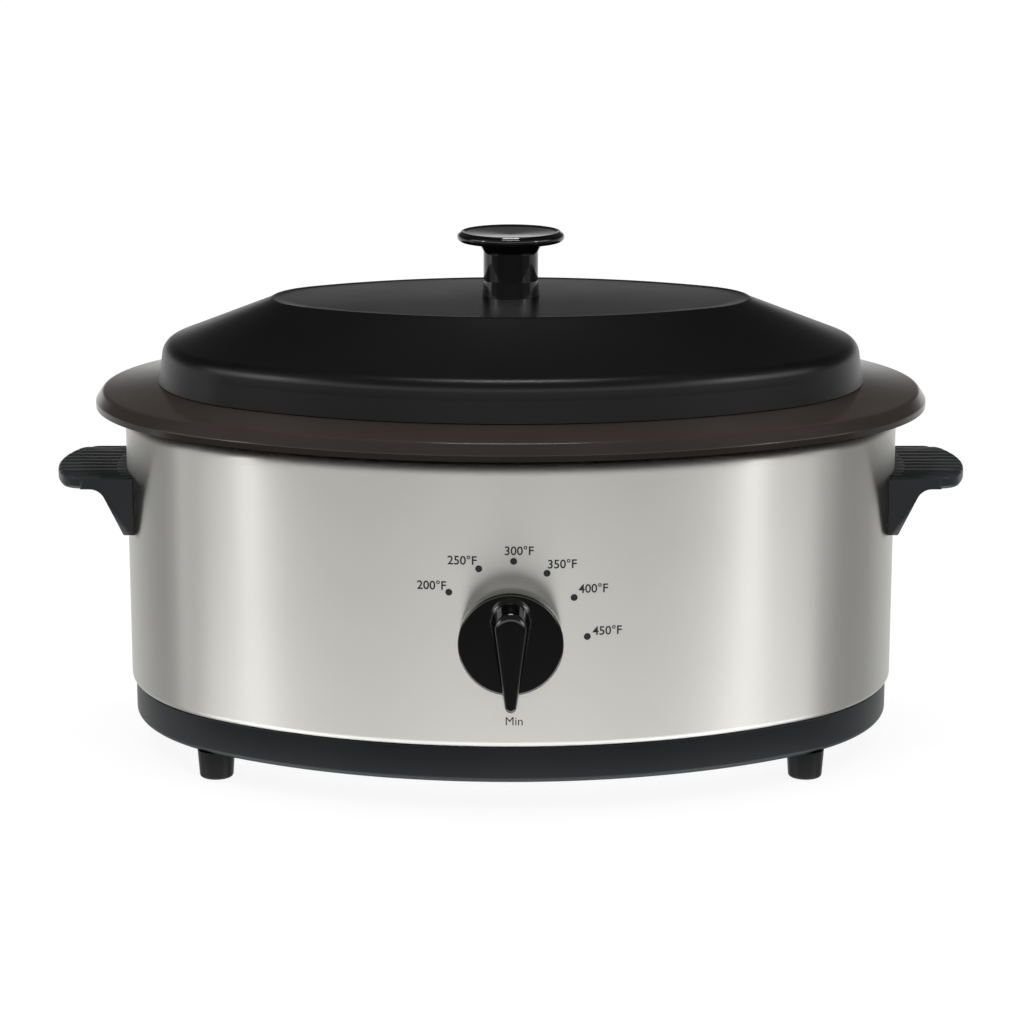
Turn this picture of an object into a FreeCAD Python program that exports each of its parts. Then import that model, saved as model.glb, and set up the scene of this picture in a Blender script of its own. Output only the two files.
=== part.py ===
"""Electric roaster oven: oval steel body, lift-out cookwell, lift-off domed lid and a dial.

Millimetres, +Z up, feet on z = 0, +X to the right and the dial facing -Y.  Every oval of the
object is one family of parallel four-arc ovals that share four arc centres.  An oval is named
by its reach, which is its half length along X.
"""
import FreeCAD, Part
import math
import os

V = FreeCAD.Vector
UP = V(0, 0, 1)
RIGHT = V(1, 0, 0)
BACK = V(0, 1, 0)

# Oval family
end_centre_x = 78.7
length_over_width = 55.0
core_margin = 21.3
body_reach = 195.0

# Heights
foot_height = 14.0
base_height = 18.0
body_height = 137.0
rim_gap = 5.0

# Base moulding
base_inset = 2.0
base_wall = 2.5
base_floor = 3.0
base_floor_width = 21.0
base_upstand = 10.0
base_edge_radius = 3.0
foot_inset = 47.5
foot_top_radius = 9.25
foot_bottom_radius = 8.25
foot_edge_radius = 1.5
foot_stem_radius = 3.0

# Steel body
shell_sheet = 0.8
shell_curl = 3.5
shell_curl_radius = 3.2
shoulder_radius = 5.0
shell_top_width = 13.5

# Heating liner, its seat and the things that carry it
liner_gap = 7.0
liner_sheet = 0.8
liner_corner = 10.0
liner_under_gap = 8.0
seat_ring_reach_in = 9.0
seat_ring_foot = 5.0
spacer_height = 15.6
bracket_width = 16.0
bracket_flange = 12.0
bracket_sheet = 1.2
bracket_inset_x = 88.0
bracket_inset_y = 80.0
shield_sheet = 0.6
shield_inset = 35.0
spacer_radius = 6.0

# Heater
band_above_floor = 28.0
band_height = 36.0
mica_sheet = 0.8
ribbon_sheet = 0.4
ribbon_width = 5.0
ribbon_count = 3
strap_sheet = 0.6
wrap_gap = 0.1
blanket_gap = 0.4
blanket_wall = 11.0
blanket_above_base = 13.0
blanket_top_gap = 3.0
pocket_half_width = 23.0
lead_pocket_half_width = 13.0
pocket_over = 2.0

# Cookwell
well_sheet = 1.2
well_draft = 7.2
well_depth = 91.0
well_corner = 14.0
rim_overhang = 14.6
rim_lip_height = 3.0
rim_crest_in = 3.6
rim_crest_up = 5.4
flange_rise = 3.0
bead_height = 3.0
bead_foot = 1.6

# Roasting rack
rack_wire_radius = 1.6
rack_cross_radius = 1.25
rack_rail_radius = 1.45
rack_loop_bend = 10.0
rack_side_gap = 14.0
rack_leg_height = 12.0
rack_cross_pitch = 24.0
rack_cross_count = 11
rack_rail_y = 45.0
rack_loop_half_width = 32.0
rack_loop_height = 52.0

# Lid
lid_sheet = 1.0
lid_over_mouth = 6.8
lid_draft = 1.7
lid_wall_height = 19.0
lid_shoulder_radius = 8.0
lid_ridge_inset = 58.0
lid_ridge_height = 40.8
lid_crown_rise = 1.0
lid_crown_power = 1.8
lid_seat_radius = 17.0

# Lid knob
stem_radius = 13.8
stem_flare = 0.7
stem_height = 26.4
cap_radius = 27.0
cap_height = 5.45
cap_under = 1.3
cap_bead_radius = 24.6
cap_bead = 0.9
cap_dish = 1.2
knob_screw_radius = 2.4
knob_screw_depth = 14.0
knob_washer_radius = 8.0
knob_washer_sheet = 1.0

# Side handles
handle_length = 35.0
handle_half_width = 38.0
handle_outer_radius = 90.0
handle_corner = 12.0
handle_below_top = 26.5
handle_plate = 7.0
handle_height = 30.5
handle_wall = 4.0
gusset_wall = 5.0
gusset_reach = 11.5
gusset_root_radius = 8.0
gusset_foot = 1.2
groove_count = 9
groove_width = 3.0
groove_depth = 1.3
groove_margin = 5.0
handle_screw_y = 24.0
handle_screw_drop = 18.5
handle_screw_radius = 2.0
handle_screw_head = 4.0
handle_screw_head_height = 2.4
handle_screw_bite = 3.0

# Dial, thermostat and its fixing
dial_above_base = 54.0
dial_radius = 24.6
dial_front_radius = 23.1
dial_gap = 1.0
dial_depth = 10.5
pointer_rise = 9.0
pointer_top = 21.4
pointer_top_half_width = 8.3
pointer_tip = 31.4
pointer_tip_half_width = 3.2
shaft_radius = 3.0
shaft_into_dial = 9.0
running_gap = 0.06
bush_radius = 5.0
bush_hole_gap = 0.3
thermostat_width = 34.0
thermostat_height = 26.0
thermostat_depth = 10.6
nut_radius = 8.0
nut_depth = 2.4
dial_recess_radius = 9.2
dial_recess = 4.0

# Electrical fittings low in the body
gland_above_base = 20.0
gland_bore = 3.6
gland_radius = 6.0
gland_flange_radius = 9.5
gland_flange = 2.6
gland_nut_radius = 9.0
gland_nut_depth = 4.0
block_length = 40.0
block_depth = 16.0
block_height = 13.0
block_inset = 52.0
block_screw_pitch = 12.0
block_screw_radius = 2.6
lead_radius = 1.2
lead_bend = 6.0
lead_x = 6.0
fuse_radius = 2.2
fuse_length = 15.0
fuse_below_floor = 2.0
saddle_wall = 0.8
saddle_height = 8.0
fit_gap = 0.3

# Fasteners
rim_screw_count_side = 3
rim_screw_inset = 9.0
screw_radius = 1.6
screw_head_radius = 3.4
screw_head_height = 1.8

# Worked-out ovals and heights
side_centre_y = (2 * length_over_width * end_centre_x - length_over_width**2) / (
    2 * (end_centre_x - length_over_width))
side_extra = math.hypot(end_centre_x, side_centre_y)
tangent_angle = math.degrees(math.atan2(side_centre_y, end_centre_x))

base_bottom = foot_height
base_top = base_bottom + base_height
body_top = base_top + body_height
base_reach = body_reach - base_inset
foot_spread = base_reach - foot_inset
bracket_x = base_reach - bracket_inset_x
bracket_y = base_reach - length_over_width - bracket_inset_y
shield_reach = body_reach - shield_inset
rim_reach = body_reach + rim_overhang
handle_reach = body_reach + handle_length
handle_top = body_top - handle_below_top
handle_bottom = handle_top - handle_height
handle_screw_z = handle_top - handle_screw_drop
dial_z = base_top + dial_above_base
gland_z = base_top + gland_above_base
blanket_bottom = base_top + blanket_above_base
block_y = body_reach - length_over_width - block_inset
well_floor_z = body_top - well_depth
band_bottom = well_floor_z + band_above_floor
plate_bottom = base_bottom + base_floor
plate_sheet = shell_sheet
plate_top = plate_bottom + plate_sheet
rim_lip_bottom = body_top + rim_gap
rim_crest_z = rim_lip_bottom + rim_lip_height + rim_crest_up
rim_crest_reach = rim_reach - rim_crest_in
blanket_outer = body_reach - shell_sheet - blanket_gap
blanket_reach = blanket_outer - blanket_wall
strap_reach = blanket_reach - blanket_gap - strap_sheet
ribbon_reach = strap_reach - wrap_gap - ribbon_sheet
mica_reach = ribbon_reach - wrap_gap - mica_sheet
liner_reach = mica_reach - wrap_gap
well_mouth = liner_reach - liner_sheet - liner_gap - well_sheet
well_floor_reach = well_mouth - well_draft
rack_reach = well_floor_reach - rack_side_gap
lid_edge_reach = well_mouth + lid_over_mouth
lid_wall_reach = lid_edge_reach - lid_draft
lid_ridge_reach = lid_edge_reach - lid_ridge_inset
flange_inner_reach = lid_edge_reach - lid_sheet - fit_gap * 2.5
flange_inner_z = rim_crest_z + flange_rise
liner_floor_z = well_floor_z - well_sheet - liner_under_gap - liner_sheet
fuse_z = liner_floor_z - fuse_below_floor
bracket_top = liner_floor_z - spacer_height - shield_sheet
shield_top = bracket_top + shield_sheet
lid_edge_z = flange_inner_z + fit_gap
lid_shoulder_z = lid_edge_z + lid_wall_height
lid_ridge_z = lid_edge_z + lid_ridge_height
lid_crown_z = lid_ridge_z + lid_crown_rise
cap_bottom = lid_crown_z + stem_height
cap_top = cap_bottom + cap_height
front_y = -(body_reach - length_over_width)
shell_inner_front = front_y + shell_sheet
liner_front = -(liner_reach - length_over_width)
shell_inner_radius = body_reach - shell_sheet - end_centre_x + side_extra
thermostat_sag = shell_inner_radius - math.sqrt(shell_inner_radius**2 - (thermostat_width / 2)**2)
thermostat_front = shell_inner_front + thermostat_sag + fit_gap
dial_back = front_y - dial_gap
dial_face = dial_back - dial_depth
core_reach = end_centre_x + core_margin

# The oval's centre is set back so that the dial and the rim reach equally far from the origin.
front_reach = -(dial_face - pointer_rise)
back_reach = rim_reach - length_over_width
oval_centre = V(0, (front_reach - back_reach) / 2, 0)


def arc_centres(reach, half_width):
    """Return the end and side arc radii and their centres' distances for one four-arc oval."""
    angle = math.radians(tangent_angle)
    spread = (reach - half_width) / (math.cos(angle) + math.sin(angle) - 1)
    end_x = spread * math.cos(angle)
    side_y = spread * math.sin(angle)
    return reach - end_x, half_width + side_y, end_x, side_y


def oval_wire(reach, z, half_width=None):
    """Return a four-arc oval as a closed wire at height z."""
    if half_width is None:
        half_width = reach - length_over_width
    end_radius, side_radius, end_x, side_y = arc_centres(reach, half_width)
    turn = tangent_angle
    edges = [Part.makeCircle(end_radius, V(end_x, 0, z), UP, -turn, turn)]
    edges.append(Part.makeCircle(side_radius, V(0, -side_y, z), UP, turn, 180 - turn))
    edges.append(Part.makeCircle(end_radius, V(-end_x, 0, z), UP, 180 - turn, 180 + turn))
    edges.append(Part.makeCircle(side_radius, V(0, side_y, z), UP, 180 + turn, 360 - turn))
    return Part.Wire(edges)


def oval_plate(reach, bottom, top):
    """Return a flat oval plate."""
    face = Part.Face(oval_wire(reach, bottom))
    return face.extrude(V(0, 0, top - bottom))


def rounded_edges(points):
    """Return the edges of an open outline of (reach, z, corner radius) points in the XZ plane."""
    edges = []
    here = V(points[0][0], 0, points[0][1])
    for before, corner, after in zip(points, points[1:], points[2:]):
        tip = V(corner[0], 0, corner[1])
        back = (V(before[0], 0, before[1]) - tip).normalize()
        on = (V(after[0], 0, after[1]) - tip).normalize()
        radius = corner[2]
        half = back.getAngle(on) / 2
        if radius > 0 and math.pi / 2 - half > 0.001:
            cut = radius / math.tan(half)
            start = tip + back * cut
            end = tip + on * cut
            middle = tip + (back + on).normalize() * (radius / math.sin(half) - radius)
            edges.append(Part.LineSegment(here, start).toShape())
            edges.append(Part.Arc(start, middle, end).toShape())
            here = end
        else:
            edges.append(Part.LineSegment(here, tip).toShape())
            here = tip
    last = V(points[-1][0], 0, points[-1][1])
    edges.append(Part.LineSegment(here, last).toShape())
    return edges


def closed_profile(points):
    """Return a face bounded by a closed outline; its first point is a plain corner."""
    loop = list(points) + [points[0]]
    return Part.Face(Part.Wire(rounded_edges(loop)))


def offset_points(points, distance):
    """Return an open outline moved to its left-hand side by a distance, corner radii matched."""
    moved = []
    count = len(points)
    for index, (reach, z, radius) in enumerate(points):
        normals = []
        for first, second in ((index - 1, index), (index, index + 1)):
            if first >= 0 and second < count:
                step = V(points[second][0] - points[first][0], points[second][1] - points[first][1], 0)
                step.normalize()
                normals.append((-step.y, step.x))
        if len(normals) == 1:
            shift = V(normals[0][0], normals[0][1], 0) * distance
            moved.append((reach + shift.x, z + shift.y, 0))
            continue
        (ax, ay), (bx, by) = normals
        scale = distance / (1 + ax * bx + ay * by)
        turn = ax * by - ay * bx
        new_radius = max(radius - distance, 0.05) if turn > 0 else radius + distance
        moved.append((reach + (ax + bx) * scale, z + (ay + by) * scale, new_radius))
    return moved


def sheet_profile(points, sheet):
    """Return the section of a formed sheet: an open outline thickened to its left-hand side."""
    other = offset_points(points, sheet)
    edges = rounded_edges(points)
    edges += rounded_edges(other)
    edges.append(line_between(points[0], other[0]))
    edges.append(line_between(points[-1], other[-1]))
    return Part.Face(Part.Wire(Part.__sortEdges__(edges)))


def line_between(first, second):
    """Return a straight edge between two (reach, z) points in the XZ plane."""
    return Part.LineSegment(V(first[0], 0, first[1]), V(second[0], 0, second[1])).toShape()


def oval_lathe(face):
    """Sweep a section in the XZ plane exactly round the oval family."""
    end_axis = V(end_centre_x, 0, 0)
    start = face.copy()
    start.rotate(end_axis, UP, -tangent_angle)
    right = start.revolve(end_axis, UP, 2 * tangent_angle)
    turned = face.copy()
    turned.rotate(end_axis, UP, tangent_angle)
    rear = turned.revolve(V(0, -side_centre_y, 0), UP, 180 - 2 * tangent_angle)
    left = right.copy()
    left.rotate(V(0, 0, 0), UP, 180)
    front = rear.copy()
    front.rotate(V(0, 0, 0), UP, 180)
    return right.multiFuse([rear, left, front]).removeSplitter()


def oval_ring(reach_in, reach_out, bottom, top):
    """Return a plain ring between two ovals."""
    return oval_plate(reach_out, bottom, top).cut(oval_plate(reach_in, bottom, top))


def cylinder(radius, start, direction, length):
    """Return a cylinder from a start point along a direction."""
    return Part.makeCylinder(radius, length, start, direction)


def box(low, high):
    """Return a box between two corners."""
    return Part.makeBox(high[0] - low[0], high[1] - low[1], high[2] - low[2], V(*low))


def four_corners(x, y):
    """Return the four mirrored positions of a point."""
    return [(sx * x, sy * y) for sx in (-1, 1) for sy in (-1, 1)]


def tube_path(points, radius, bend):
    """Return a round lead along straight runs joined by tangent arcs."""
    edges = []
    here = points[0]
    for before, tip, after in zip(points, points[1:], points[2:]):
        back = (before - tip).normalize()
        on = (after - tip).normalize()
        half = back.getAngle(on) / 2
        cut = bend / math.tan(half)
        start = tip + back * cut
        end = tip + on * cut
        middle = tip + (back + on).normalize() * (bend / math.sin(half) - bend)
        edges.append(Part.LineSegment(here, start).toShape())
        edges.append(Part.Arc(start, middle, end).toShape())
        here = end
    edges.append(Part.LineSegment(here, points[-1]).toShape())
    path = Part.Wire(edges)
    direction = (points[1] - points[0]).normalize()
    section = Part.Wire([Part.makeCircle(radius, points[0], direction)])
    return path.makePipeShell([section], True, False)


def flange_top(reach):
    """Return the height of the cookwell flange's top at a reach."""
    share = (rim_crest_reach - reach) / (rim_crest_reach - flange_inner_reach)
    return rim_crest_z + share * flange_rise


def base_pan():
    """Moulded base: outer wall, floor flange, and the upstand that the steel body slips over."""
    wall_in = body_reach - shell_curl - fit_gap
    floor_in = base_reach - base_floor_width
    upstand_in = wall_in - base_wall
    points = [
        (floor_in, base_bottom, 0),
        (base_reach, base_bottom, base_edge_radius),
        (base_reach, base_top, 0.4),
        (wall_in, base_top, 0),
        (wall_in, base_top + base_upstand, 0.5),
        (upstand_in, base_top + base_upstand, 0.5),
        (upstand_in, plate_bottom, 0),
        (floor_in, plate_bottom, 0),
    ]
    pan = oval_lathe(closed_profile(points))
    holes = [cylinder(foot_stem_radius, V(x, y, base_bottom), UP, base_floor) for x, y in foot_places()]
    for x, y in rim_screw_places():
        holes.append(cylinder(screw_radius, V(x, y, base_bottom), UP, base_floor))
    return pan.cut(Part.Compound(holes))


def foot_places():
    """Return the feet's centres, tucked against the inside of the base wall."""
    ring = base_reach - end_centre_x - foot_top_radius
    across = foot_spread - end_centre_x
    return four_corners(foot_spread, math.sqrt(ring**2 - across**2))


def foot(x, y):
    """One tapered foot with its push-in stem."""
    cone = Part.makeCone(foot_bottom_radius, foot_top_radius, foot_height, V(x, y, 0))
    lower = [edge for edge in cone.Edges if edge.BoundBox.ZMax < 0.01]
    cone = cone.makeFillet(foot_edge_radius, lower)
    return cone.fuse(cylinder(foot_stem_radius, V(x, y, foot_height), UP, base_floor))


def rim_screw_places():
    """Return the places of the screws that hold the bottom plate to the base flange."""
    radius = base_reach - end_centre_x - base_floor_width + rim_screw_inset
    places = []
    for side in (0, 180):
        for step in range(rim_screw_count_side):
            angle = math.radians(side + (step - (rim_screw_count_side - 1) / 2) * tangent_angle / 2)
            centre = end_centre_x if side == 0 else -end_centre_x
            places.append((centre + radius * math.cos(angle), radius * math.sin(angle)))
    return places


def screw_from_below(x, y, seat_z, length):
    """One pan-head screw that points up."""
    head = cylinder(screw_head_radius, V(x, y, seat_z - screw_head_height), UP, screw_head_height)
    lower = [edge for edge in head.Edges if edge.BoundBox.ZMax < seat_z - screw_head_height + 0.01]
    head = head.makeFillet(screw_head_height * 0.5, lower)
    shank = cylinder(screw_radius, V(x, y, seat_z), UP, length)
    return head.fuse(shank)


def rim_screws():
    """Screws through the base flange into the bottom plate."""
    reach_up = base_floor + plate_sheet + 2 * screw_radius
    return Part.Compound([screw_from_below(x, y, base_bottom, reach_up) for x, y in rim_screw_places()])


def bracket_screws():
    """Screws through the bottom plate into the liner's brackets."""
    places = four_corners(bracket_x, bracket_y)
    length = plate_sheet + bracket_sheet + screw_radius
    return Part.Compound([screw_from_below(x, y, plate_bottom, length) for x, y in places])


def bottom_plate():
    """Steel plate that closes the base, with rows of vent slots."""
    reach = body_reach - shell_curl - base_wall - 3 * fit_gap
    plate = oval_plate(reach, plate_bottom, plate_top)
    cuts = []
    for x, y in rim_screw_places() + four_corners(bracket_x, bracket_y):
        cuts.append(cylinder(screw_radius, V(x, y, plate_bottom), UP, plate_sheet))
    slot_half = bracket_y * 0.5
    slot_width = bracket_sheet * 3
    for step in range(-3, 4):
        x = step * slot_width * 3
        cuts.append(box((x - slot_width / 2, -slot_half, plate_bottom), (x + slot_width / 2, slot_half, plate_top)))
    return plate.cut(Part.Compound(cuts))


def body_shell():
    """Drawn steel body: curled lower edge, upright wall, rounded shoulder and top flange."""
    points = [
        (body_reach - shell_curl, base_top + fit_gap, 0),
        (body_reach, base_top + fit_gap, shell_curl_radius),
        (body_reach, body_top, shoulder_radius),
        (body_reach - shell_top_width, body_top, 0),
    ]
    shell = oval_lathe(sheet_profile(points, shell_sheet))
    depth = shell_sheet * 4
    cuts = [cylinder(bush_radius + bush_hole_gap, V(0, front_y - depth, dial_z), BACK, depth * 2)]
    cuts.append(cylinder(gland_radius, V(0, -front_y - depth, gland_z), BACK, depth * 2))
    for side in (-1, 1):
        for y in (-handle_screw_y, handle_screw_y):
            wall_x = handle_wall_x(y)
            start = V(side * wall_x - depth, y, handle_screw_z)
            cuts.append(cylinder(handle_screw_radius, start, RIGHT, depth * 2))
    return shell.cut(Part.Compound(cuts))


def handle_wall_x(y, beyond=0.0):
    """Return the X of the body's end wall, moved out by a distance, at one Y."""
    radius = body_reach - end_centre_x + beyond
    return end_centre_x + math.sqrt(radius**2 - y**2)


def seat_ring():
    """Formed collar on the body's top flange that carries the liner's flange."""
    inner = body_reach - seat_ring_reach_in
    top = flange_top(inner) - well_sheet - liner_sheet - 2 * fit_gap
    points = [
        (inner + seat_ring_foot, body_top, 0),
        (inner, body_top, shell_sheet / 2),
        (inner, top, 0),
    ]
    return oval_lathe(sheet_profile(points, -shell_sheet))


def heating_liner():
    """Deep steel liner: sloped seat flange, upright wall, rounded corner and flat floor."""
    flange_reach = body_reach - seat_ring_reach_in + 2.0
    drop = well_sheet + liner_sheet + fit_gap
    points = [
        (flange_reach, flange_top(flange_reach) - drop, 0),
        (liner_reach, flange_top(liner_reach) - drop, 1.0),
        (liner_reach, liner_floor_z, liner_corner),
        (core_reach, liner_floor_z, 0),
    ]
    wall = oval_lathe(sheet_profile(points, -liner_sheet))
    floor = oval_plate(core_reach, liner_floor_z, liner_floor_z + liner_sheet)
    return wall.fuse(floor).removeSplitter()


def liner_brackets():
    """Four channel brackets that stand on the bottom plate and carry the heat shield."""
    pieces = []
    for x, y in four_corners(bracket_x, bracket_y):
        half = bracket_width / 2
        foot_low = (x - half, y - bracket_flange / 2, plate_top)
        foot_high = (x + half, y + bracket_flange / 2, plate_top + bracket_sheet)
        top_low = (x - half, y - bracket_flange / 2, bracket_top - bracket_sheet)
        top_high = (x + half, y + bracket_flange / 2, bracket_top)
        web_y = y + bracket_flange / 2
        web = box((x - half, web_y - bracket_sheet, plate_top), (x + half, web_y, bracket_top))
        piece = box(foot_low, foot_high).fuse([box(top_low, top_high), web])
        hole = cylinder(screw_radius, V(x, y, plate_top), UP, bracket_sheet)
        pieces.append(piece.cut(hole).removeSplitter())
    return Part.Compound(pieces)


def heat_shield():
    """Bright reflector plate under the liner."""
    return oval_plate(shield_reach, bracket_top, shield_top)


def ceramic_spacers():
    """Four steatite spacers between the heat shield and the liner's floor."""
    places = four_corners(bracket_x - liner_corner, bracket_y - liner_corner)
    pieces = [cylinder(spacer_radius, V(x, y, shield_top), UP, spacer_height) for x, y in places]
    return Part.Compound(pieces)


def mica_band():
    """Mica former that wraps the liner."""
    return oval_ring(mica_reach, mica_reach + mica_sheet, band_bottom, band_bottom + band_height)


def heater_ribbons():
    """Flat resistance ribbons laid round the mica."""
    pieces = []
    pitch = band_height / ribbon_count
    for step in range(ribbon_count):
        bottom = band_bottom + pitch * (step + 0.5) - ribbon_width / 2
        pieces.append(oval_ring(ribbon_reach, ribbon_reach + ribbon_sheet, bottom, bottom + ribbon_width))
    return Part.Compound(pieces)


def heater_strap():
    """Thin steel strap that clamps the ribbons on the mica."""
    return oval_ring(strap_reach, strap_reach + strap_sheet, band_bottom, band_bottom + band_height)


def insulation_blanket():
    """Glass-wool blanket between the heater and the body, with pockets for the fittings."""
    top = body_top - shell_sheet - blanket_top_gap
    blanket = oval_ring(blanket_reach, blanket_outer, blanket_bottom, top)
    pocket_top = band_bottom + 2 * pocket_over
    far = body_reach
    cuts = [box((-pocket_half_width, -far, blanket_bottom), (pocket_half_width, 0, pocket_top))]
    cuts.append(box((-lead_pocket_half_width, 0, blanket_bottom), (lead_pocket_half_width, far, band_bottom)))
    for side in (-1, 1):
        for y in (-handle_screw_y, handle_screw_y):
            start = V(0, y, handle_screw_z)
            cuts.append(cylinder(handle_screw_head + 1, start, RIGHT * side, far))
    return blanket.cut(Part.Compound(cuts))


def cookwell():
    """Enamelled cookwell: down-turned lip, rising flange, bead inside the lid, and deep well."""
    points = [
        (rim_reach, rim_lip_bottom, 0),
        (rim_reach, rim_lip_bottom + rim_lip_height, 1.5),
        (rim_crest_reach, rim_crest_z, 2.5),
        (flange_inner_reach, flange_inner_z, 0.8),
        (flange_inner_reach - bead_foot, flange_inner_z + bead_height, 1.0),
        (well_mouth, flange_inner_z + bead_height, 1.5),
        (well_floor_reach, well_floor_z, well_corner),
        (core_reach, well_floor_z, 0),
    ]
    wall = oval_lathe(sheet_profile(points, well_sheet))
    floor = oval_plate(core_reach, well_floor_z - well_sheet, well_floor_z)
    return wall.fuse(floor).removeSplitter()


def roasting_rack():
    """Wire rack: oval frame, cross wires laid on it, two rails under them, legs and loops."""
    z = well_floor_z + fit_gap + rack_leg_height
    cross_z = z + rack_wire_radius * 0.6
    rail_z = z - rack_wire_radius * 0.8
    circle = Part.Face(Part.Wire([Part.makeCircle(rack_wire_radius, V(rack_reach, 0, z), BACK)]))
    half_end = rack_reach - end_centre_x
    pieces = []
    for step in range(rack_cross_count):
        x = (step - (rack_cross_count - 1) / 2) * rack_cross_pitch
        half = oval_half_width(rack_reach, x)
        pieces.append(cylinder(rack_cross_radius, V(x, -half, cross_z), BACK, 2 * half))
    rail_half = end_centre_x + math.sqrt(half_end**2 - rack_rail_y**2)
    for y in (-rack_rail_y, rack_rail_y):
        pieces.append(cylinder(rack_rail_radius, V(-rail_half, y, rail_z), RIGHT, 2 * rail_half))
    for x, y in four_corners(rack_cross_pitch * 3.5, rack_rail_y):
        leg_bottom = well_floor_z + fit_gap
        pieces.append(cylinder(rack_cross_radius, V(x, y, leg_bottom), UP, rail_z - leg_bottom))
    for side in (-1, 1):
        loop_x = side * (end_centre_x + math.sqrt(half_end**2 - rack_loop_half_width**2))
        top = z + rack_loop_height
        corners = [V(loop_x, -rack_loop_half_width, z), V(loop_x, -rack_loop_half_width, top)]
        corners += [V(loop_x, rack_loop_half_width, top), V(loop_x, rack_loop_half_width, z)]
        pieces.append(tube_path(corners, rack_rail_radius, rack_loop_bend))
    rack = oval_lathe(circle)
    for piece in pieces:
        rack = rack.fuse(piece)
    return rack


def oval_half_width(reach, x):
    """Return half the oval's width at one X."""
    end_radius = reach - end_centre_x
    past = abs(x) - end_centre_x
    if past > end_radius * math.cos(math.radians(tangent_angle)):
        return math.sqrt(end_radius**2 - past**2)
    side_radius = end_radius + side_extra
    return math.sqrt(side_radius**2 - x**2) - side_centre_y


def crown(inside):
    """Return the lid's crown above its ridge as a solid, inside being the sheet to take off."""
    shares = (1.0, 0.8, 0.55, 0.3)
    wires = []
    ridge_half = lid_ridge_reach - length_over_width
    for share in shares:
        rise = lid_crown_rise * (1 - share**lid_crown_power)
        reach = lid_ridge_reach * share
        half = ridge_half * share
        if inside:
            reach -= inside * 0.4
            half -= inside * 0.4
        wires.append(oval_wire(reach, lid_ridge_z + rise - inside, half))
    seat = lid_seat_radius
    wires.append(oval_wire(seat, lid_crown_z - inside, seat))
    return Part.makeLoft(wires, True, False)


def lid_volume(inside):
    """Return the lid as a full volume, its surface moved in by a sheet."""
    drop = 3 * lid_sheet if inside else 0.0
    points = [
        (lid_edge_reach, lid_edge_z, 0),
        (lid_wall_reach, lid_edge_z + lid_wall_height * 0.55, 2.0),
        (lid_wall_reach - 1.2, lid_shoulder_z, lid_shoulder_radius),
        (lid_ridge_reach, lid_ridge_z, 0),
    ]
    outline = offset_points(points, inside) if inside else points
    first = outline[0]
    last = outline[-1]
    low = first[1] - drop
    ring = [(first[0], low, 0)] + list(outline[:-1])
    ridge_z = lid_ridge_z - inside
    ridge_reach = lid_ridge_reach - inside * 0.4
    ring += [(ridge_reach, ridge_z, 0), (core_reach, ridge_z, 0), (core_reach, low, 0)]
    if not inside:
        ring = ring[1:]
    body = oval_lathe(closed_profile(ring))
    return body.fuse([oval_plate(core_reach, low, ridge_z), crown(inside)]).removeSplitter()


def lid_shell():
    """Lid pressed from one sheet: sloped sides, a near-flat crown and a hole for the knob's screw."""
    lid = lid_volume(0.0).cut(lid_volume(lid_sheet))
    return lid.cut(cylinder(knob_screw_radius + fit_gap, V(0, 0, lid_edge_z), UP, lid_crown_z))


def lid_knob():
    """Moulded knob: tall flared stem, thin wide cap, raised ring and shallow dish."""
    points = [
        (0, lid_crown_z, 0),
        (stem_radius + stem_flare, lid_crown_z, 0),
        (stem_radius, lid_crown_z + stem_height * 0.3, 4.0),
        (stem_radius, cap_bottom - stem_height * 0.15, 4.0),
        (stem_radius + 3 * stem_flare, cap_bottom, 1.0),
        (cap_radius, cap_bottom + cap_under, 2.2),
        (cap_radius, cap_top - cap_bead, 2.0),
        (cap_bead_radius + cap_bead, cap_top, 1.0),
        (cap_bead_radius, cap_top + cap_bead, 0.8),
        (cap_bead_radius - 2 * cap_bead, cap_top, 1.2),
        (0, cap_top - cap_dish, 0),
    ]
    knob = closed_profile(points).revolve(V(0, 0, 0), UP, 360)
    return knob.cut(cylinder(knob_screw_radius, V(0, 0, lid_crown_z), UP, knob_screw_depth))


def lid_knob_washer():
    """Washer between the lid's underside and the screw's head."""
    top = lid_crown_z - lid_sheet
    disc = cylinder(knob_washer_radius, V(0, 0, top - knob_washer_sheet), UP, knob_washer_sheet)
    return disc.cut(cylinder(knob_screw_radius + fit_gap, V(0, 0, lid_edge_z), UP, lid_crown_z))


def lid_knob_screw():
    """Screw that holds the knob from inside the lid."""
    seat = lid_crown_z - lid_sheet - knob_washer_sheet
    head_radius = knob_screw_radius * 2
    head_height = knob_screw_radius * 1.2
    head = cylinder(head_radius, V(0, 0, seat - head_height), UP, head_height)
    lower = [edge for edge in head.Edges if edge.BoundBox.ZMax < seat - head_height + 0.01]
    head = head.makeFillet(head_height * 0.5, lower)
    length = lid_sheet + knob_washer_sheet + knob_screw_depth
    return head.fuse(cylinder(knob_screw_radius, V(0, 0, seat), UP, length))


def handle_plan():
    """Return the handle plate's outline as a face: straight sides and a bowed outer edge."""
    inner = end_centre_x
    centre_x = handle_reach - handle_outer_radius
    half = handle_half_width
    side_x = centre_x + math.sqrt(handle_outer_radius**2 - half**2)
    low_corner = V(side_x, -half, 0)
    high_corner = V(side_x, half, 0)
    lines = [Part.LineSegment(V(inner, -half, 0), low_corner).toShape()]
    lines.append(Part.Arc(low_corner, V(handle_reach, 0, 0), high_corner).toShape())
    lines.append(Part.LineSegment(high_corner, V(inner, half, 0)).toShape())
    lines.append(Part.LineSegment(V(inner, half, 0), V(inner, -half, 0)).toShape())
    return Part.Face(Part.Wire(lines))


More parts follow.
